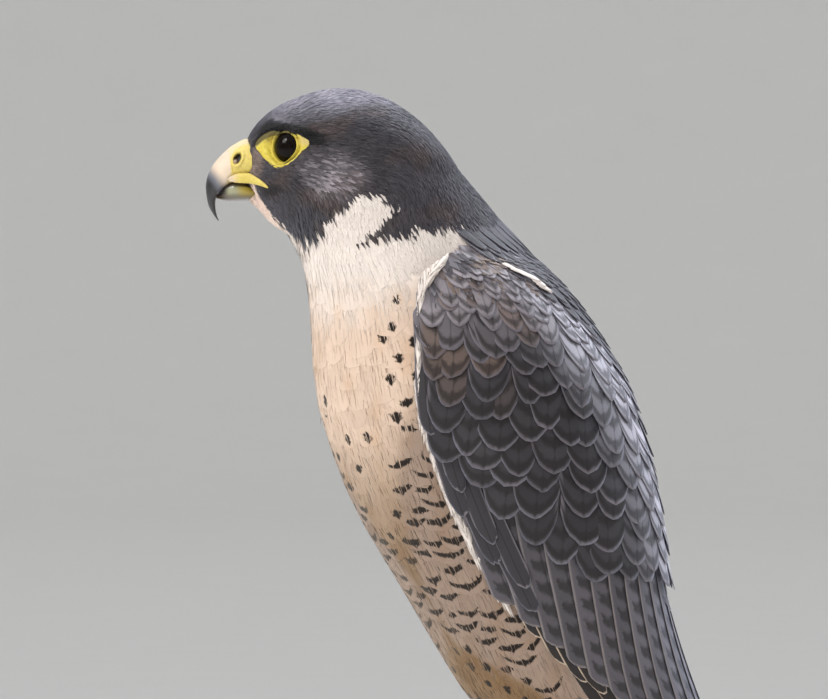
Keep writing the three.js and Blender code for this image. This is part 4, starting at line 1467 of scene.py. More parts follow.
def lay_wing(template, side, rng, root, tip, width, roll=0.0, camber=0.4, thick=0.3,
             pointed=0.5, ragged=0.04, narrow_root=0.6, lift_from=0.0, sharp=0.0):
    """Vanes on a folded wing. root and tip are (height, bearing, proud), each an array."""
    (z0, b0, p0), (z1, b1, p1) = root, tip
    count = len(z0)
    width = np.broadcast_to(width, (count,))[:, None]
    across, along = vane_places(template, rng, count, pointed, ragged, narrow_root, sharp=sharp)
    z = mix(z0[:, None], z1[:, None], along)
    middle = mix(b0[:, None], b1[:, None], along)
    bearing = middle + across * width / 2 / degree_length(z, middle)
    bearing = np.minimum(bearing, 89.4)
    rise = smooth(along, lift_from, 1.0) if lift_from else along
    proud = mix(p0[:, None], p1[:, None], rise) - roll * across
    proud = proud - camber * across**2 - thick * template.under
    points = on_wing(z, bearing, proud)
    points[..., 0] = np.maximum(points[..., 0], 0.15) * side
    return points


def wing_bearing(side, z, share):
    """Bearing of a place on the folded wing, by its share of the way from front to back edge."""
    front, back = wing_edges(side, z)
    return mix(front, back, share)


def wing_looks(rng, count, width, length, ground, fringe, fringe_width, mark=0.0, shaft=0.5):
    """Looks of wing and tail feathers, each a little lighter or darker than the last."""
    ground = np.clip(ground * (1 + 0.11 * rng.normal(size=(count, 1))), 0, 1)
    return looks_of(count, rng, width, length, ground, fringe, fringe_width, shaft, mark, 0.75)


def covert_rows():
    """Tip heights and widths of the rows of coverts, small on the shoulder and larger below."""
    rows = []
    z, lowest = 296.0, 187.0
    while z > lowest:
        width = np.interp(z, [190, 219, 245, 262, 276, 290, 298], [14, 14, 13.5, 11.5, 9, 6, 4.6])
        rows.append((z, width))
        z -= 0.56 * width
    return rows


def covert_mark(width):
    """A darker zone inside the fringe, and soft bars on the larger coverts."""
    large = smooth(width, 8, 13)
    return 3.0, mix(1.0, 1.5, large), 1.4, 7.4 if large > 0.5 else UNBARRED


def shoulder_tufts(skin):
    """Small soft feathers over the tops of both wings, between the neck and the coverts."""
    def wanted(points):
        return under_wing(points) & (points[:, 2] > 276) & (points[:, 2] < 299)

    roots = scattered(skin, wanted, 1.7, seed=131)
    rng = np.random.default_rng(132)
    count = len(roots)
    ways = unit(flow(roots) + 0.12 * rng.normal(size=(count, 3)))
    length = rng.uniform(5.5, 7.5, count)
    width = rng.uniform(2.4, 3.4, count)
    high = smooth(roots[:, 2], 281, 289)
    points, normals = lay(
        skin, TUFT, roots, ways, length, width, rng, base=0.5 + 1.5 * high, lift=1.3, camber=0.25,
        thick=0.0, pointed=0.6, ragged=0.12, taper=0.25,
    )
    tone = waves(roots, 9, 133)[:, None] + 0.3 * rng.normal(size=(count, 1))
    colour = mix(srgb(78, 74, 79), srgb(128, 124, 131), smooth(tone, -0.4, 0.9))
    colour = mix(colour, srgb(134, 116, 104), 0.7 * smooth(waves(roots, 14, 134), 0.1, 0.5)[:, None])
    colour = mix(NAPE, colour, smooth(bearing_of(roots), 34, 20)[:, None])
    looks = looks_of(count, rng, width, length, colour, np.clip(colour * 1.5, 0, 0.9), 0.35)
    bake = body_map(roots)
    return coat_of("shoulder_coat", "slate_plumage", TUFT, points, looks, bake, normals=normals)


def worn_scapular():
    """The raised shoulder feather on the left with a worn and ragged white edge."""
    rng = np.random.default_rng(141)
    count = 18
    place = np.linspace(0, 1, count)
    z = mix(296.6, 290.0, place) + rng.uniform(-0.6, 0.6, count)
    bearing = mix(11.0, 20.0, place) + 1.2 * np.sin(np.pi * place)
    proud = 0.9 + 0.9 * np.sin(np.pi * place) ** 0.7 + rng.uniform(-0.15, 0.15, count)
    length = rng.uniform(3.6, 5.2, count)
    root = (z, bearing, proud)
    tip = (z - 0.6 * length, bearing + 0.85 * length, proud + rng.uniform(-0.2, 0.3, count))
    width = rng.uniform(2.4, 3.8, count)
    points = lay_wing(VANE, 1, rng, root, tip, width, thick=0.5, pointed=0.7, ragged=0.3)
    pale = mix(srgb(226, 216, 212), srgb(150, 128, 110), rng.uniform(0, 0.5, (count, 1)) ** 2)
    looks = looks_of(count, rng, width, length, pale, pale, 0.3)
    return coat_of("worn_scapular", "pale_plumage", VANE, points, looks, wing_map(1, z, bearing))


def lower_back(skin):
    """Soft grey feathers of the lower back and rump, between and under the wings."""
    def wanted(points):
        z = points[:, 2]
        return (z > 92) & (z < 232) & (bearing_of(points) > 38)

    roots = scattered(skin, wanted, 4.6, seed=151)
    rng = np.random.default_rng(152)
    count = len(roots)
    width = 9.0
    ways = np.tile(np.array([0.0, 0.42, -1.0]), (count, 1)) + 0.05 * rng.normal(size=(count, 3))
    length = rng.uniform(15, 19, count)
    points, normals = lay(
        skin, PLUME, roots, ways, length, width, rng, base=0.3, lift=1.2, camber=0.3,
        thick=0.1, pointed=0.45, ragged=0.06,
    )
    colour = MANTLE * 1.25 * (1 + 0.08 * rng.normal(size=(count, 1)))
    mark = (3.0, 0.8, 1.2, 7.0)
    looks = looks_of(count, rng, width, length, colour, WING_FRINGE, 0.6, 0.4, mark, 0.6)
    bake = body_map(roots)
    return coat_of("lower_back", "slate_plumage", PLUME, points, looks, bake, normals=normals)


def wing_top(bearing):
    """How high the wing's feathers may be rooted, by bearing: the round outline of the shoulder."""
    return np.interp(bearing, [-50, -45, -36, -22, -8, 15], [262, 277, 289, 296, 300, 306])


def covert_shares(side, row, tip_z, width, rng):
    """Where the vanes of a row lie, as shares of the way from the wing's front to its back edge."""
    front, back = wing_edges(side, tip_z)
    arc = (back - front) * degree_length(tip_z, wing_bearing(side, tip_z, 0.5))
    count = max(3, int(round(arc / (width * 0.86))))
    share = (np.arange(count) + (0.25 if row % 2 else 0.75)) / count
    share = np.clip(share + rng.uniform(-0.26, 0.26, count) / count, 0.012, 0.985)
    if tip_z < 216:
        limit = front + 28 * smooth(tip_z, 216, 194)
        share = share[wing_bearing(side, tip_z, share) > limit]
    return share


def coverts(side):
    """Rows of scalloped coverts and shoulder feathers over the folded wing."""
    coat = Coat(f"coverts_{SIDES[side]}", "slate_plumage")
    rng = np.random.default_rng(51 if side > 0 else 52)
    for row, (tip_z, width) in enumerate(covert_rows()):
        share = covert_shares(side, row, tip_z, width, rng)
        add_covert_row(coat, side, share, tip_z, width, rng)
    return coat


def add_covert_row(coat, side, share, tip_z, width, rng):
    """One row of vanes, whose tips are at about one height."""
    count = len(share)
    tips = tip_z + rng.uniform(-0.24, 0.24, count) * width
    below = wing_bearing(side, tips, share)
    # On the near side the vanes hang straight down, which is across the form's lean.
    turn = 0.42 * smooth(below, 58, 12)
    length = (1.9 * width + 5) * rng.uniform(0.94, 1.06, count)
    length = np.minimum(length, wing_top(below + turn * length * 0.6) - tips)
    kept = length > 1.15 * width
    share, tips, below, turn, length = (v[kept] for v in (share, tips, below, turn, length))
    count = len(share)
    # The foremost vanes keep within the wing's front edge, on the near wing at the wrist only.
    kept_in = smooth(tip_z, 236, 256) if side > 0 else 1.0
    front, _ = wing_edges(side, tip_z)
    within = front + 0.46 * width / degree_length(tip_z, front) * kept_in
    below = np.maximum(below, within)
    size = width * rng.uniform(0.9, 1.2, count) * 1.12
    proud = 0.1 + 0.6 * smooth(tip_z, 290, 240) + rng.uniform(-0.1, 0.25, count)
    large = float(smooth(width, 8, 14))
    askew = rng.uniform(-2.5, 2.5, count)
    root = (tips + length, below + turn * length + askew, np.full(count, -1.7))
    points = lay_wing(
        VANE, side, rng, root, (tips, below, proud), size, roll=0.2, thick=0.15,
        pointed=mix(0.5, 0.48, large), ragged=mix(0.05, 0.025, large),
        sharp=rng.uniform(0, 0.15, (count, 1)) * large,
    )
    ground = covert_ground(share, tips, rng)
    edged = rng.uniform(0.45, 1.0, (count, 1)) * smooth(width, 4, 9)
    fringe = mix(ground, WING_FRINGE, edged)
    mark = covert_mark(width)
    looks = wing_looks(rng, count, size, length, ground, fringe, 0.6 + 0.05 * width, mark, 0.35)
    coat.add(VANE, points, looks, wing_map(side, root[0], root[1]), mirrored=side < 0)


def covert_ground(share, z, rng):
    """Slate, brownish here and there on the shoulder, and paler and bluer towards the back: partly the
    back's own paler grey, partly painted rim light and sky sheen.
    """
    count = len(share)
    brown = (rng.uniform(size=count) < 0.3) * smooth(share, 0.7, 0.4) * smooth(z, 236, 262)
    high = smooth(z, 256, 284)[:, None]
    ground = mix(WING, srgb(138, 131, 136), high)
    ground = mix(ground, srgb(98, 81, 72), 0.7 * brown[:, None])
    # Painted light: towards the back the coverts are lightened as if lit from behind by the rim light
    # and the sky.
    far = smooth(share, 0.42, 0.78) * smooth(z, 294, 270)
    return mix(ground, srgb(172, 169, 180), far[:, None])


def flight_strips(count, first, total):
    """The long feathers' map: a strip each, side by side, from the first of so many strips."""
    place = (np.arange(count) + first) / total
    u = 0.02 + 0.96 * place[:, None] + (LONG_VANE.u * 0.5 + 0.5)[None] * 0.9 * 0.96 / total
    v = 0.02 + 0.96 * LONG_VANE.v[None] + 0 * u
    return np.stack([u, v], -1)


def secondaries(side):
    """Secondaries and tertials, each lying over the one in front of it."""
    count = 13
    rng = np.random.default_rng(61)
    tuck = 0.0 if side > 0 else RIGHT_TUCK
    i = np.arange(count, dtype=float)
    tip_z = 184 - 7.8 * i + 0.22 * i**2
    at_186 = -47.0 + 8.8 * i + tuck * (1 - i / count)
    slant = -0.2 * np.sin(np.pi * (i + 0.5) / count)
    root_z = np.full(count, 224.0) - 0.6 * i
    b0 = at_186 - slant * (root_z - 186)
    b1 = at_186 + slant * (186 - tip_z)
    limit = np.minimum(edge_at(tip_z)[:, 1] - 4, 84)
    root = (root_z, np.minimum(b0, 80), np.full(count, -3.0))
    tip = (tip_z, np.minimum(b1, limit), -0.75 + 0.02 * i)
    width = 12.5
    points = lay_wing(
        LONG_VANE, side, rng, root, tip, width, roll=0.62, camber=0.25, thick=0.35,
        pointed=0.09, ragged=0.006, narrow_root=0.8, lift_from=0.05,
    )
    length = root_z - tip_z
    mark = (5.2, 1.8, 0.62, 7.4)
    ground = mix(srgb(76, 72, 77), srgb(106, 103, 111), smooth(i, 5, 12)[:, None])
    looks = wing_looks(rng, count, width, length, ground, srgb(122, 113, 112), 0.7, mark)
    coat = Coat(f"secondaries_{SIDES[side]}", "slate_plumage")
    coat.add(LONG_VANE, points, looks, flight_strips(count, 0, WING_STRIPS), mirrored=side < 0)
    rng = np.random.default_rng(71)
    add_primaries(coat, side, rng)
    add_primary_coverts(coat, side, rng)
    return coat


def add_primaries(coat, side, rng):
    """The long dark primaries."""
    count = 7
    width = 11.5
    i = np.arange(count, dtype=float)
    place = i / (count - 1)
    root_z = 204 - 2.4 * i
    tip_z = 26 + 12.5 * i
    b0 = wing_bearing(side, root_z, mix(0.03, 0.34, place))
    b1 = wing_bearing(side, tip_z, mix(0.12, 0.74, place))
    root = (root_z, b0, np.full(count, -4.6))
    tip = (tip_z, b1, 0.7 * (i + 1 - count) - 1.2)
    points = lay_wing(
        LONG_VANE, side, rng, root, tip, width, roll=0.35, camber=0.2, thick=0.4,
        pointed=0.1, ragged=0.004, narrow_root=0.7,
    )
    length = root_z - tip_z
    ground, fringe = PRIMARY * 1.1, PALE_FRINGE * 0.8
    looks = wing_looks(rng, count, width, length, ground, fringe, 0.35, shaft=0.8)
    coat.add(LONG_VANE, points, looks, flight_strips(count, 13, WING_STRIPS), mirrored=side < 0)


def add_primary_coverts(coat, side, rng):
    """The primaries' narrow coverts along the front edge."""
    count = 6
    width = 7.0
    i = np.arange(count, dtype=float)
    root_z = np.full(count, 224.0)
    tip_z = np.array([196.0, 184, 173, 164, 158, 154])
    share = np.array([0.012, 0.02, 0.035, 0.06, 0.09, 0.13])
    root = (root_z, wing_bearing(side, root_z, share * 0.8), np.full(count, -3.2))
    tip = (tip_z, wing_bearing(side, tip_z, share), -2.2 + 0.12 * i)
    points = lay_wing(
        LONG_VANE, side, rng, root, tip, width, roll=0.3, camber=0.2,
        pointed=0.12, ragged=0.004, narrow_root=0.9,
    )
    length = root_z - tip_z
    looks = wing_looks(rng, count, width, length, PRIMARY * 1.25, PALE_FRINGE, 0.5, shaft=0.6)
    coat.add(LONG_VANE, points, looks, flight_strips(count, 20, WING_STRIPS), mirrored=side < 0)


def front_edge(side):
    """Narrow feathers of the wrist and thumb along the wing's front edge."""
    rng = np.random.default_rng(81)
    width = 7.4
    tips = np.array([240.0, 231, 221, 213, 204, 197, 189, 181])
    share = np.array([0.006, 0.02, 0.035, 0.014, 0.06, 0.04, 0.09, 0.07])
    length = np.array([34.0, 36, 38, 38, 36, 38, 38, 34])
    count = len(tips)
    roots = tips + length
    root = (roots, wing_bearing(side, roots, share), np.full(count, -2.4))
    tip = (tips, wing_bearing(side, tips, share), np.full(count, 0.2))
    points = lay_wing(VANE, side, rng, root, tip, width, roll=0.35, pointed=0.22, narrow_root=0.8)
    looks = wing_looks(rng, count, width, length, WING * 0.95, WING_FRINGE, 0.5, shaft=0.6)
    name = f"wing_edge_{SIDES[side]}"
    bake = wing_map(side, roots, root[1])
    return coat_of(name, "slate_plumage", VANE, points, looks, bake, mirrored=side < 0)


def white_edge(side):
    """The white underwing tufts that show all along the wing's front edge."""
    rng = np.random.default_rng(91 if side > 0 else 92)
    count = 380
    z = rng.uniform(188, 300, count)
    front = wing_edges(side, z)[0]
    length = rng.uniform(6, 11, count)
    broad = mix(0.25, 1.0 if side > 0 else 1.7, smooth(z, 272, 248))
    # On top of the shoulder the throat's tufts lie over the wing's edge.
    over = smooth(z, 286, 296)
    behind = broad * rng.uniform(-2.2, 0.4, count) - 2.0 * over
    root = (z, front + behind, rng.uniform(-3.4, -1.6, count) + 1.6 * over)
    tip_z = z - length
    tip_front = wing_edges(side, tip_z)[0]
    ahead = mix(-broad * rng.uniform(0.8, 3.6, count), rng.uniform(0.0, 3.0, count), over)
    # The bend of the right wing swells a little past the breast.
    bend = 2.2 * np.exp(-(((tip_z - 246) / 8) ** 2)) if side < 0 else 0.0
    tip = (tip_z, tip_front + ahead, rng.uniform(-2.4, -0.5, count) + 2.6 * over + bend)
    width = rng.uniform(1.6, 3.0, count)
    points = lay_wing(TUFT, side, rng, root, tip, width, camber=0.3, pointed=0.7, ragged=0.15)
    colour = CREAM * rng.uniform(0.85, 1.0, (count, 1))
    looks = looks_of(count, rng, width, length, colour, colour, 0.4)
    name = f"wing_lining_{SIDES[side]}"
    bake = wing_map(side, z, front)
    return coat_of(name, "pale_plumage", TUFT, points, looks, bake, mirrored=side < 0)


def mantle():
    """The back between the wings: rows across the middle that lie over the wings' inner edges."""
    coat = Coat("mantle", "slate_plumage")
    rng = np.random.default_rng(101)
    z, lowest = 306.0, 186.0
    row = 0
    while z > lowest:
        width = np.interp(z, [226, 255, 280, 306], [13, 12, 9, 5.5])
        back = np.interp(z, [190, 226, 268, 285, 300, 308], [77, 64, 41, 26, 8, 2])
        span = 180 - 2 * back
        arc = span * float(degree_length(z, 70.0))
        count = max(2, int(round(arc / (0.86 * width))))
        bearing = back + (np.arange(count) + (0.3 if row % 2 else 0.7)) * span / count
        tips = z - 6 + rng.uniform(-0.15, 0.15, count) * width
        length = (1.9 * width + 5) * rng.uniform(0.95, 1.05, count)
        roots = np.minimum(tips + length, 316)
        size = 1.15 * width
        points = lay_mantle(rng, roots, tips, bearing, size, 0.7 + 0.7 * smooth(z, 290, 250))
        # Painted light: the mantle's sides turn pale like the backs of the wings, partly their own
        # paler grey, partly painted rim light and sky sheen.
        aside = smooth(np.abs(90 - bearing), 3, 26) * smooth(z, 278, 250)
        ground = mix(srgb(100, 98, 105), srgb(164, 161, 172), aside[:, None])
        ground = mix(ground, NAPE * 0.6, smooth(z, 256, 288))
        length, fringe = roots - tips, WING_FRINGE * 1.1
        looks = wing_looks(rng, count, size, length, ground, fringe, 0.6, covert_mark(width))
        coat.add(VANE, points, looks, wing_map(1, roots, np.minimum(bearing, 90)))
        z -= 0.5 * width
        row += 1
    return coat


def lay_mantle(rng, roots, tips, bearing, width, proud):
    """Vanes laid down the back, whose bearings run on over the middle to the other side."""
    count = len(roots)
    across, along = vane_places(VANE, rng, count, 0.5, 0.04, 0.6)
    z = mix(roots[:, None], tips[:, None], along)
    turn = across * width / 2 / degree_length(z, bearing[:, None])
    height = mix(-2.0, proud, along) - 0.3 * across * np.sign(90 - bearing[:, None])
    height = height - 0.4 * across**2 - 0.3 * VANE.under
    return on_wing(z, bearing[:, None] + turn, height)


# Tail

def tail_feathers():
    """Six pairs, the middle pair on top, banded and tipped with buff."""
    pairs = 6
    half = 7.6  # of a feather's width
    rng = np.random.default_rng(111)
    coat = Coat("tail_feathers", "slate_plumage")
    for side in (1, -1):
        k = np.arange(pairs, dtype=float)
        centre = np.where(k == 0, 0.7, 9 + 2.4 * (k - 1))
        level = np.where(k == 0, 1.2 + 0.5 * side, -0.9 * k)
        across, along = vane_places(LONG_VANE, rng, pairs, 0.05, 0.004, 0.7)
        open_out = mix(0.8, 1.0, along)
        down = along * (TAIL_LENGTH - 1.6 * k)[:, None]
        spread = side * (centre[:, None] * open_out + across * half)
        tilt = np.where(k == 0, 0.0, 0.3)[:, None] * across
        proud = open_out * (level[:, None] - tilt) - 0.3 * across**2 - 0.45 * LONG_VANE.under
        points = on_tail(down, spread, proud)
        floor = 0.2 + 0.22 * (proud + 6)  # The tips rest on the floor, one on another.
        points[..., 2] = np.maximum(points[..., 2], floor)
        length = TAIL_LENGTH - 1.6 * k
        mark = (12.0, 3.4, 1.2, 11.5)
        ground = srgb(92, 90, 96) * (1 - 0.03 * k[:, None])
        buff = srgb(196, 184, 168)
        looks = wing_looks(rng, pairs, 2 * half, length, ground, buff, 1.4, mark, 0.6)
        bake = flight_strips(pairs, 0 if side > 0 else pairs, 2 * pairs)
        coat.add(LONG_VANE, points, looks, bake, mirrored=side < 0)
    return coat


def tail_coverts():
    """Grey rump feathers over the tail's root, and pale barred ones under it."""
    return [
        root_feathers("rump_coat", "slate_plumage", 1, MANTLE * 1.1, 121),
        root_feathers("vent_coat", "barred_plumage", -1, THIGH_PALE, 122),
    ]


def root_feathers(name, slot, way, colour, seed):
    """Rows of feathers over the tail's root, or under it where way is -1."""
    rng = np.random.default_rng(seed)
    coat = Coat(name, slot)
    half = 5.6
    far_depth = half if way < 0 else 2.4
    for row, start in enumerate(np.arange(-22, 38, 5.0)):
        count = 4 + row % 2
        centre = (np.arange(count) - (count - 1) / 2) * 6.0 + rng.uniform(-0.6, 0.6, count)
        length = rng.uniform(26, 30, count) + 0.3 * (start + 22)
        across, along = vane_places(PLUME, rng, count, 0.45, 0.05, taper=0.05)
        down = start + along * length[:, None]
        aside = centre[:, None] * mix(1.0, 0.8, along) + across * half
        deep = np.interp(down, [-22, 10, 34, 56, 80], [9.6, 9.2, 7.2, 6.4, far_depth])
        rounded = np.sqrt(np.clip(1 - (aside / 17) ** 2, 0.04, 1))
        proud = deep * rounded + 0.2 + 1.1 * along
        proud = proud + 0.15 * across - 0.5 * across**2 - 0.3 * PLUME.under
        points = on_tail(down, aside, way * proud)
        mark = (3.0, 0.9, 1.2, 6.0)
        looks = looks_of(
            count, rng, 2 * half, length, colour, colour * 1.25, 0.8, 0.3, mark, 0.85
        )
        coat.add(PLUME, points, looks, body_map(points[:, 0]), mirrored=way < 0)
    return coat


# Head details

def eye_frame(side):
    """Centre of an eye, the way it looks, and the forward and upward directions across that."""
    centre = head_place(EYE["forward"], side * EYE["side"], EYE["up"])
    look = unit(head_place(0.62, side * 0.78, 0.03) - HEAD_CENTRE)
    ahead = unit(AHEAD - (AHEAD @ look) * look)
    above = np.cross(look, ahead) * side
    above = above if above[2] > 0 else -above
    return centre, look, ahead, above


def make_eye(side, material):
    """A glossy ball with a slightly fuller cornea."""
    centre, look, ahead, above = eye_frame(side)
    polar = np.linspace(0, np.pi, 41)[:, None]
    turn = full_turn(64)
    radius = EYE["radius"] + 0.35 * np.exp(-((polar / 0.55) ** 2))
    rings = (
        centre
        + (radius * np.cos(polar) + 0 * turn)[..., None] * look
        + (radius * np.sin(polar) * np.cos(turn))[..., None] * ahead
        + (radius * np.sin(polar) * np.sin(turn))[..., None] * above
    )
    name = f"eyeball_{SIDES[side]}"
    mesh = mesh_of(name, *closed_form(rings[1:-1]))
    add_piece(name, mesh, material, "eye_gloss", [f"eye_{SIDES[side]}"])


def outline_at(angles, centre):
    """The bare skin's outline round a centre in the side view, smoothed, at each angle."""
    corners = np.array(BARE_EYE) - centre
    turn = np.arctan2(corners[:, 1], corners[:, 0])
    reach = np.linalg.norm(corners, axis=1)
    order = np.argsort(turn)
    turn, reach = turn[order], reach[order]
    turn = np.r_[turn[-2:] - 2 * np.pi, turn, turn[:2] + 2 * np.pi]
    reach = np.r_[reach[-2:], reach, reach[:2]]
    spread = curve(np.stack([turn, reach], -1))
    return spread((angles + np.pi) % (2 * np.pi) - np.pi)[..., 0]


def lid_edge(side, angle):
    """The lid's edge, a slightly oval ring on the ball that the lower lid flattens."""
    centre, look, ahead, above = eye_frame(side)
    low = np.clip(-np.sin(angle), 0, 1) ** 2
    tall = 5.0 - 0.5 * np.clip(np.sin(angle), 0, 1) ** 2
    sideways = (4.7 - 1.0 * low) * np.cos(angle) + 0.7 * low
    on_ball = sideways[:, None] * ahead + (tall * np.sin(angle))[:, None] * above
    out = np.sqrt(EYE["radius"] ** 2 - (on_ball**2).sum(-1))[:, None]
    return centre + on_ball + (out + 0.1) * look


def rim_relief(travelled, share, angle):
    """How proud the bare skin stands by the way from the lid's edge: edge, groove and folds."""
    lid = 0.55 * np.exp(-(((travelled - 0.5) / 0.42) ** 2)) * smooth(travelled, 0, 0.3)
    groove = -0.4 * np.exp(-(((travelled - 1.35) / 0.4) ** 2))
    inside = smooth(share, 1.0, 0.75)
    swell = 0.3 * np.sin(np.pi * share) * inside
    ripple = 0.1 * np.sin(travelled * 5.0) * smooth(travelled, 1.8, 2.6) * inside
    uneven = np.sin(13 * angle + 2 * np.sin(3 * angle))[None, :, None]
    radial = 0.06 * uneven * smooth(travelled, 0.8, 2)
    return lid + groove + swell + ripple + radial * inside


def eye_rim(skin, side, material):
    """The bare yellow skin: a thin lid edge on the ball, a groove, and folds out to the feathers."""
    centre, look, _, _ = eye_frame(side)
    outward = side * ASIDE
    angle = full_turn(112)[0]
    middle = np.array([18.2, 0.6])
    reach = outline_at(angle, middle) + 0.5
    f_out = middle[0] + reach * np.cos(angle)
    u_out = middle[1] + reach * np.sin(angle)
    outer = skin.from_side(f_out, u_out, side) + 0.15 * outward
    inner = lid_edge(side, angle)
    share = np.linspace(0, 1, 18)[:, None, None]
    sheet = mix(inner[None], outer[None], share**1.25)
    forward, _, up = head_view(sheet)
    on_head = skin.from_side(forward, up, side) + 0.15 * outward
    sheet = mix(sheet, on_head, smooth(share, 0.3, 0.8))
    travelled = share**1.25 * np.linalg.norm(outer - inner, axis=1)[None, :, None]
    out_way = unit(mix(look[None, None], outward[None, None], share))
    sheet = sheet + out_way * rim_relief(travelled, share, angle)
    # Nothing of it sinks into the ball.
    off = sheet - centre
    reach = np.linalg.norm(off, axis=-1, keepdims=True)
    least = EYE["radius"] + 0.15 + 0.5 * smooth(travelled, 0, 1.0)
    sheet = centre + off / reach * np.maximum(reach, least)
    under = sheet[-1] - 2.2 * outward
    tucked = inner - 1.2 * look
    rings = np.concatenate([tucked[None], sheet, under[None]])
    points, faces = loft(rings, closed_ends=False)
    if side > 0:
        faces = [f[:, ::-1] for f in faces]
    name = f"eye_rim_{SIDES[side]}"
    mesh = mesh_of(name, points, faces, {"tint": rim_tint(points)})
    add_piece(name, mesh, material, "yellow_skin")


def rim_tint(points):
    """Paler behind the eye, with a mottled painted shade in front of it and the brow's painted shade
    above.
    """
    forward, _, up = head_view(points)
    pale = smooth(forward, 15, 11.5) * smooth(up, 0.5, 2.5)
    # Painted shade: the front upper corner of the bare skin is darkened, with a mottle, where the brow
    # shades it.
    shadowed = smooth(np.hypot((forward - 23.6) / 2.4, (up - 4.2) / 1.5), 1.3, 0.5)
    mottled = shadowed * smooth(waves(points, 2.2, 25), -0.8, 0.6)
    colour = mix(srgb(200, 178, 118), srgb(88, 70, 36), shadowed[:, None])
    line = np.interp(forward, [14, 16.5, 20, 22.5, 25, 27.5], [6.2, 5.1, 4.9, 4.7, 3.6, 1.4])
    shade = smooth(up - line, -0.7, 0.1)
    colour = mix(colour, srgb(44, 36, 26), shade[:, None])
    return tinted(colour, np.maximum(np.maximum(0.75 * pale, 0.7 * mottled), 0.85 * shade))


bill_at = curve([(i, *row) for i, row in enumerate(BILL)])
CERE_END = 3.0  # the row of BILL where the horn takes over from the cere


def bill_rings(start, end, rows, grow=0.0, count=48):
    """Rings across the upper bill, rounded on the ridge and drawn in to a thin cutting edge."""
    place = np.linspace(start, end, rows)
    rf, ru, ef, eu, w = np.moveaxis(bill_at(place), -1, 0)[:, :, None]
    a = full_turn(count)
    t = 0.5 + 0.5 * np.sin(a)
    narrow = 1 - 0.22 * np.sin(a)
    across = (w + grow) * np.cos(a) * narrow
    return head_place(mix(ef, rf, t), across, mix(eu, ru, t)), place


def bill_tint(points):
    """Pinkish at the cere, through blue-grey, to the black hook and cutting edge."""
    forward, _, up = head_view(points)
    along = (forward - 38) - 0.8 * up
    colour = mix(srgb(214, 194, 172), srgb(98, 100, 110), smooth(along, 7, 12)[:, None])
    colour = mix(colour, srgb(27, 25, 29), smooth(along, 11.2, 14.2)[:, None])
    warm = smooth(forward + 0.35 * up, 34.5, 32.6) * smooth(up, -4, -7.5) * smooth(up, -13, -11)
    colour = mix(colour, srgb(196, 176, 96), (0.7 * warm)[:, None])
    edge_forward = [33.5, 36.9, 38.4, 39.6, 40.4, 41.2]
    edge = np.interp(forward, edge_forward, [-10.4, -11.6, -12.7, -14.4, -15, -16.6])
    at_edge = smooth(up - edge, 0.7, 0.1) * (up > -16)
    colour = mix(colour, srgb(60, 50, 46), at_edge[:, None])
    return tinted(colour, np.ones(len(points)))


def upper_bill(material):
    rings, _ = bill_rings(CERE_END - 0.35, len(BILL) - 1, 64)
    points, faces = closed_form(rings)
    mesh = mesh_of("bill_horn_upper", points, faces, {"tint": bill_tint(points)})
    add_piece("bill_horn_upper", mesh, material, "bill_horn", ["bill_upper"])


def lower_bill(material):
    at = curve(LOWER_BILL)
    first, last = LOWER_BILL[0][0], LOWER_BILL[-1][0]
    place = np.linspace(first, last + 0.9, 32)
    top, bottom, wide = np.moveaxis(at(np.minimum(place, last)), -1, 0)[:, :, None]
    shrink = np.sqrt(np.clip(1 - ((place - 37.5) / 3.8).clip(0, 1) ** 2, 0.01, 1))[:, None]
    a = full_turn(40)
    rise = np.sign(np.sin(a)) * np.abs(np.sin(a)) ** np.where(np.sin(a) > 0, 0.55, 1.0)
    up = mix(bottom, top, 0.5) + 0.5 * (top - bottom) * rise * shrink
    points, faces = closed_form(head_place(place[:, None], wide * shrink * np.cos(a), up))
    forward, _, height = head_view(points)
    # The horn's own yellow base, pale grey and dark tip; the pale grey band also holds a painted
    # highlight.
    colour = mix(srgb(176, 156, 62), srgb(150, 150, 122), smooth(forward, 31.5, 35)[:, None])
    colour = mix(colour, srgb(28, 26, 28), smooth(forward, 36.4, 38.6)[:, None])
    # Painted shade on a browner horn: the bill turns darker towards its underside.
    colour = mix(srgb(72, 60, 44), colour, smooth(height, -16.2, -13.2)[:, None])
    # Painted shade: a dark band along the top, where the upper bill's edge overhangs it.
    rim = at(np.minimum(forward, last))[:, 0]
    colour = mix(colour, srgb(40, 32, 30), smooth(height - rim, -2.0, -1.4)[:, None])
    tint = tinted(colour, np.ones(len(points)))
    mesh = mesh_of("bill_horn_lower", points, faces, {"tint": tint})
    add_piece("bill_horn_lower", mesh, material, "bill_horn", ["bill_lower"])


def cere(material):
    """The yellow cere, with a raised ring round each nostril and the knob inside it."""
    rings, place = bill_rings(-0.6, CERE_END, 66, 0.45, 120)
    side = np.where(head_view(rings)[1] > 0, 1.0, -1.0)
    ring, hole, knob, flank = nostril(rings)
    edge = 0.25 * np.exp(-(((place - CERE_END + 0.12) / 0.1) ** 2))[:, None]
    move = (0.45 * ring - 1.7 * hole + 1.5 * knob) * flank + edge
    points, faces = closed_form(rings + (side * move)[..., None] * ASIDE)
    mesh = mesh_of("cere_skin", points, faces, {"tint": cere_tint(points)})
    add_piece("cere_skin", mesh, material, "yellow_skin", ["cere"])


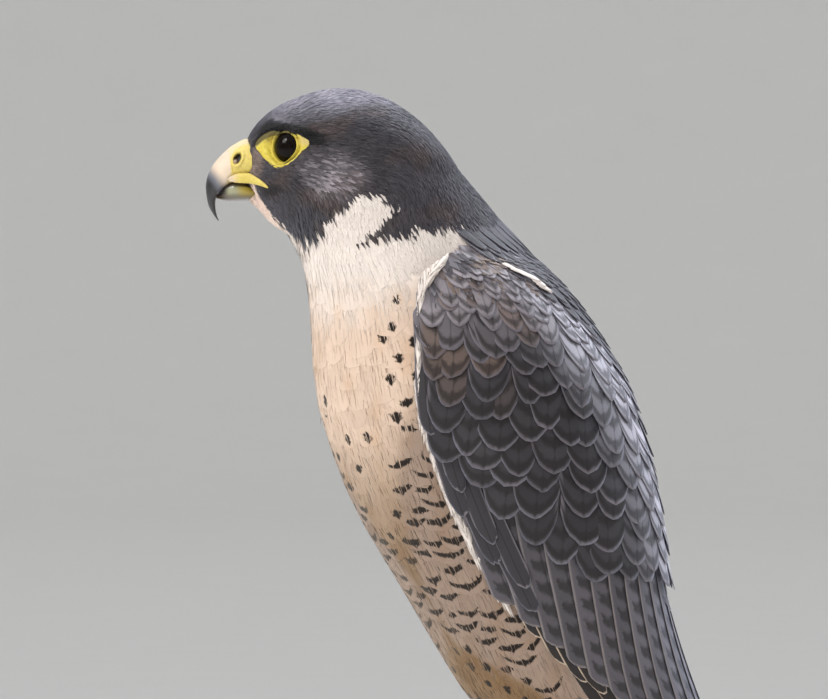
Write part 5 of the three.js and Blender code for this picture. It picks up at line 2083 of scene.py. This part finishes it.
def cere_tint(points):
    """Painted shade in the nostrils' hollows, and as pale on the ridge as the horn in front of it."""
    forward, _, up = head_view(points)
    ring, hole, knob, flank = nostril(points)
    hole = hole * flank
    # Painted shade: the nostril's hollow is dark round its paler knob.
    shaded_hole = mix(srgb(34, 26, 22), srgb(158, 134, 122), knob[:, None])
    colour = mix(PALE_YELLOW, shaded_hole, hole[:, None])
    below_ridge = np.interp(forward, [29, 32, 35, 37], [4.2, 3.7, 2.1, 0.7]) - up
    ridge = smooth(below_ridge, 3.4, 1.0)
    ahead = smooth(forward + 0.3 * (up + 3) - 0.9 * ring, 34.6, 36.2) * smooth(up, -8.2, -6.4)
    ridge = np.maximum(ridge, ahead * (1 - 0.7 * ring))
    colour = mix(colour, srgb(218, 199, 170), (ridge * (1 - hole))[:, None])
    return tinted(colour, np.maximum(np.maximum(hole, 0.85 * ridge), 0.4))


def nostril(points):
    """Shares of the nostril's raised ring, hole and inner knob, and of the bill's flanks, by place."""
    forward, left, up = head_view(points)
    slanted = forward - 33.9 + 0.28 * (up + 2.8)
    off = np.hypot(slanted / 1.35, (up + 2.8) / 1.9)
    ring = np.exp(-(((off - 1.35) / 0.32) ** 2))
    hole = smooth(off, 1.1, 0.75)
    knob = smooth(np.hypot(forward - 34.6, up + 3.7), 1.1, 0.35)
    return ring, hole, knob, smooth(np.abs(left), 3, 6)


def gape(side, material):
    """The yellow fold at the corner of the mouth."""
    rows = [
        (36.8, -9.6, 7.0, 0.7),
        (33.6, -9.2, 8.5, 1.6),
        (30, -9.3, 9.6, 1.7),
        (27.5, -10.2, 11.6, 1.3),
        (25.5, -11.2, 13.2, 0.9),
        (23.6, -12.4, 14.4, 0.35),
    ]
    at = curve([(i, *row) for i, row in enumerate(rows)])
    smoothed = at(np.linspace(0, len(rows) - 1, 28))
    forward, up, across, half = np.moveaxis(smoothed, -1, 0)[:, :, None]
    a = full_turn(32)
    out = side * (across + 0.75 * half * np.cos(a))
    points, faces = closed_form(head_place(forward, out, up + half * np.sin(a)))
    ahead = smooth(head_view(points)[0], 32.5, 36)
    colour = mix(PALE_YELLOW, srgb(208, 188, 160), ahead[:, None])
    name = f"gape_{SIDES[side]}"
    mesh = mesh_of(name, points, faces, {"tint": tinted(colour, mix(0.3, 1.0, ahead))})
    add_piece(name, mesh, material, "yellow_skin")


# Legs and feet

def bare_leg(side):
    """The scaled leg: broad plates down its front and a net of small scales behind them."""
    z = np.linspace(3, 67, 150)[:, None]
    a = full_turn(64)
    x, y, wide, deep = np.moveaxis(leg_at(z), -1, 0)
    front = smooth(-np.sin(a), 0.15, 0.6)
    plates = np.abs(np.sin(np.pi * z / 3.6)) ** 0.4
    scale = 1.9  # the height of a small scale
    row = np.floor(z / scale)
    net = (np.abs(np.sin(5 * a + row * np.pi / 2)) * np.abs(np.sin(np.pi * z / scale))) ** 0.4
    relief = mix(net, plates, front)
    proud = 0.4 * (relief - 0.8)
    x = side * (x + (wide + proud) * np.cos(a))
    y = y + (deep + proud) * np.sin(a)
    return *closed_form(np.stack([x, y, z + 0 * a], -1)), between_scales(relief)


def between_scales(relief):
    """A darker tint in the grooves between scales, for a form whose scales stand out by relief."""
    depth = np.r_[smooth(relief, 0.75, 0.3).ravel(), 0, 0]  # the last two are the ends' hubs
    return tinted(srgb(128, 100, 34), 0.75 * depth)


def foot_ball(side):
    """The ball that joins the toes under the leg."""
    polar = np.linspace(0, np.pi, 25)[1:-1, None]
    a = full_turn(40)
    x = FOOT_CENTRE[0] + 6.4 * np.sin(polar) * np.cos(a)
    y = FOOT_CENTRE[1] + 6.8 * np.sin(polar) * np.sin(a)
    z = np.maximum(6.2 - 7.4 * np.cos(polar) + 0 * a, ON_FLOOR)
    net = (np.abs(np.sin(8 * a)) * np.abs(np.sin(10 * polar))) ** 0.4
    return *closed_form(np.stack([side * x, y, z], -1)), between_scales(net)


def toe_ways(side, bearing):
    """The way that a toe points, and the way across it."""
    turn = math.radians(bearing)
    heading = np.array([side * math.sin(turn), -math.cos(turn), 0.0])
    return heading, np.cross(UP, heading)


def toe(side, bearing, length, thick, pads):
    """A toe with plates across its top and soft pads beneath."""
    heading, aside = toe_ways(side, bearing)
    end = 0.93  # from here on its tip is rounded off
    tip_rows = end + 0.07 * np.sin(np.linspace(0, np.pi / 2, 9)[1:])
    t = np.r_[np.linspace(-0.05, end, 90), tip_rows][:, None]
    a = full_turn(40)
    swell = np.cos(2 * np.pi * pads * t + np.pi)
    radius = thick * mix(1.08, 0.8, t) * (1 + 0.09 * swell)
    tip = np.sqrt(np.clip(1 - (np.clip(t - end, 0, 1) / 0.0705) ** 2, 0, 1))
    plates = np.abs(np.sin(np.pi * t * length / 2.3)) ** 0.4
    above = smooth(np.sin(a), 0.1, 0.6)
    below = smooth(-np.sin(a), 0.1, 0.6)
    girth = (radius + 0.3 * (plates - 0.8) * above + 0.3 * swell * below) * tip
    height = 0.94 * radius + 2.2 * smooth(t, 0.3, 0.0) + 0.94 * girth * np.sin(a)
    centre = np.array([side * FOOT_CENTRE[0], FOOT_CENTRE[1], 0.0])
    points = centre + (t * length)[..., None] * heading + (girth * np.cos(a))[..., None] * aside
    points[..., 2] = np.maximum(height, ON_FLOOR)
    return *closed_form(points), between_scales(mix(1.0, plates, above))


def talon(side, bearing, length, thick, size):
    """A curved black talon, flatter below, at the toe's end."""
    heading, aside = toe_ways(side, bearing)
    t = np.linspace(0, 1, 46)[:, None]
    a = full_turn(32)
    rise = 28.0  # degrees at its root
    turn = np.radians(mix(rise, -66.0, t))
    start = math.radians(rise)
    arc = 8.4 * size
    ahead = length - 0.4 + arc * (math.sin(start) - np.sin(turn))
    height = 0.95 * thick + arc * (np.cos(turn) - math.cos(start))
    radius = thick * 0.62 * (1 - t) ** 0.75 + 0.12
    keel = np.where(np.sin(a) < 0, 0.75, 1.05)
    out = radius * np.sin(a) * keel
    places = np.array([side * FOOT_CENTRE[0], FOOT_CENTRE[1], 0.0]) + 0 * a[..., None]
    places = places + (ahead - out * np.sin(turn))[..., None] * heading
    places = places + (0.85 * radius * np.cos(a))[..., None] * aside
    places[..., 2] = np.maximum(height + out * np.cos(turn), ON_FLOOR)
    share = np.r_[np.repeat(t[:, 0], a.shape[1]), 0, 1]
    colour = mix(srgb(58, 52, 50), srgb(20, 18, 20), smooth(share, 0.0, 0.35)[:, None])
    return *closed_form(places), tinted(colour, np.ones(len(share)))


def heaped(forms):
    """Several closed and tinted forms as one."""
    starts = np.cumsum([0] + [len(form[0]) for form in forms])
    points = np.concatenate([form[0] for form in forms])
    faces = []
    for form, start in zip(forms, starts):
        faces += [face + start for face in form[1]]
    return points, faces, {"tint": np.concatenate([form[2] for form in forms])}


def leg_and_foot(side, materials):
    word = SIDES[side]

    def add(name, slot, forms, replaced):
        mesh = mesh_of(f"{name}_{word}", *heaped(forms))
        add_piece(f"{name}_{word}", mesh, materials[slot], slot, replaced)

    add("leg", "yellow_skin", [bare_leg(side)], [f"tarsus_{word}"])
    toes = [toe(side, *row[:4]) for row in TOES]
    add("toes", "yellow_skin", [foot_ball(side)] + toes, [f"foot_{word}"])
    talons = [talon(side, bearing, length, thick, size) for bearing, length, thick, _, size in TOES]
    claws = [f"claw_{word}_{name}" for name in ("inner", "middle", "outer", "hind")]
    add("talons", "claw_horn", talons, claws)


# Stage

def make_camera():
    """The photograph's view: level, from the bird's left and a little ahead of it."""
    azimuth = math.radians(60)
    back = Vector((math.sin(azimuth), -math.cos(azimuth), 0.0))
    # The frame's plane passes midway between the head and the near wing.
    centre = Vector((-0.0125, -0.0600, 0.2684)) + back * 0.036
    frame_width = 0.2732  # in metres, at that plane
    data = bpy.data.cameras.new("camera")
    data.lens = 480
    data.sensor_width = 36
    data.clip_start = 0.1
    camera = bpy.data.objects.new("camera", data)
    camera.location = centre + back * (frame_width * data.lens / data.sensor_width)
    camera.rotation_mode = "QUATERNION"
    camera.rotation_quaternion = (-back).to_track_quat("-Z", "Y")
    bpy.context.scene.collection.objects.link(camera)
    bpy.context.scene.camera = camera
    return back


def area_light(name, place, target, size, power, colour):
    data = bpy.data.lights.new(name, "AREA")
    data.shape = "DISK"
    data.size = size
    data.energy = power
    data.color = colour
    light = bpy.data.objects.new(name, data)
    light.location = place
    light.rotation_mode = "QUATERNION"
    light.rotation_quaternion = (Vector(target) - light.location).to_track_quat("-Z", "Y")
    bpy.context.scene.collection.objects.link(light)
    return light


def make_lights(back):
    """A soft key from the camera's upper left, a cool light from behind its right, and a fill."""
    right = Vector((-back.y, back.x, 0))
    target = Vector((0, -0.03, 0.26))
    up = Vector((0, 0, 1))
    key = target + (up * 0.85 + back * 0.45 - right * 0.95) * 1.3
    rim = target + (right * 0.75 + up * 0.8 - back * 0.55) * 1.2
    top = target + (up * 1.5 - back * 0.3)
    fill = target + (back * 1.6 + up * 0.3 + right * 0.4)
    area_light("key", key, target, 0.8, 19, (1.0, 0.975, 0.945))
    area_light("rim", rim, target, 0.8, 22, (0.88, 0.93, 1.0))
    area_light("top", top, target, 1.0, 10, (0.95, 0.97, 1.0))
    area_light("fill", fill, target, 1.6, 6, (1.0, 0.98, 0.96)).visible_glossy = False
    # A small lamp at the key's edge for the glint in the eye.
    area_light("glint", key + right * 0.3, target, 0.22, 2.6, (0.95, 0.97, 1.0))


def plain_surface(name, colour):
    m = Recipe(name, 0.9, 0.1)
    grain = m.noise(m.add("ShaderNodeTexCoord", output="Object"), 9.0, 2.0)
    return m.finish(m.blend(grain, colour, np.array(colour) * 0.97))


def make_stage():
    """A round pale floor that sweeps up into the backdrop."""
    bend, reach, height = 4.0, 14.0, 16.0
    sweep = np.linspace(0, math.pi / 2, 17)[1:]
    radius = np.r_[0, reach, reach + bend * np.sin(sweep), reach + bend][:, None]
    level = np.r_[0, 0, bend * (1 - np.cos(sweep)), height][:, None]
    turns = np.linspace(0, 2 * math.pi, 73)[None, :]
    grid = np.stack([radius * np.cos(turns), radius * np.sin(turns), level + 0 * turns], -1)
    rows, columns = grid.shape[:2]
    a = (np.arange(rows - 1)[:, None] * columns + np.arange(columns - 1)).ravel()
    quads = np.stack([a, a + columns, a + columns + 1, a + 1], 1)
    mesh = mesh_of("floor", grid.reshape(-1, 3) * 1000 - SHIFT, [quads])
    mesh.materials.append(plain_surface("pale_floor", (0.8, 0.79, 0.77)))
    floor = bpy.data.objects.new("floor", mesh)
    bpy.context.scene.collection.objects.link(floor)
    world = bpy.data.worlds.new("soft_light")
    world.use_nodes = True
    background = world.node_tree.nodes["Background"]
    background.inputs["Color"].default_value = (0.95, 0.97, 1.0, 1)
    background.inputs["Strength"].default_value = 0.85
    bpy.context.scene.world = world
    bpy.context.scene.view_settings.view_transform = "Standard"


# The scene





def add_skin(skin, materials):
    """The one skin under the coat, with the coat's own markings."""
    rng = np.random.default_rng(5)
    points = skin.points
    count = len(points)
    upper = points[:, 2] > 297  # head, neck and throat, coloured as their tufts are
    colour = underside(points)
    colour[upper] = small_feather_colour(points[upper], rng, scatter=0.0)
    above_tail = (points - TAIL_ROOT) @ TAIL_OUT > -2
    rear = bearing_of(points) > np.interp(points[:, 2], [100, 215, 252], [62, 60, 50])
    rear &= above_tail | (points[:, 2] > 120)
    colour[rear & ~upper] = MANTLE * 0.7
    colour[under_wing(points)] = WING * 0.6
    looks = looks_of(count, rng, 40.0, 80.0, np.clip(colour * 0.8, 0, 1), colour, 0.0)
    layers = {key: looks[key] for key in ("size", "ground", "fringe", "mark")}
    layers["vane"] = np.tile([0.0, 0.5, 0.0], (count, 1))
    mesh = mesh_of("skin", points, [skin.quads], layers, body_map(points))
    replaced = ["head", "neck", "torso", "thigh_left", "thigh_right"]
    add_piece("skin", mesh, materials["pale_plumage"], "pale_plumage", replaced)


def main():
    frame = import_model()
    back = make_camera()
    make_lights(back)
    make_stage()
    materials = make_materials()
    skin = Skin(frame)
    add_skin(skin, materials)
    coats = head_tufts(skin)
    coats += [make(skin) for make in (body_feathers, breast_wisps, thigh_tufts, shoulder_tufts)]
    coats += [worn_scapular(), lower_back(skin), mantle()]
    for coat in coats:
        coat.pieces(materials)
    for side, word in SIDES.items():
        coverts(side).pieces(materials, [f"wing_{word}"])
        for make in (secondaries, front_edge, white_edge):
            make(side).pieces(materials)
        make_eye(side, materials["eye_gloss"])
        eye_rim(skin, side, materials["yellow_skin"])
        gape(side, materials["yellow_skin"])
        leg_and_foot(side, materials)
    tail_feathers().pieces(materials, ["tail"])
    for coat in tail_coverts():
        coat.pieces(materials)
    upper_bill(materials["bill_horn"])
    lower_bill(materials["bill_horn"])
    cere(materials["yellow_skin"])


main()
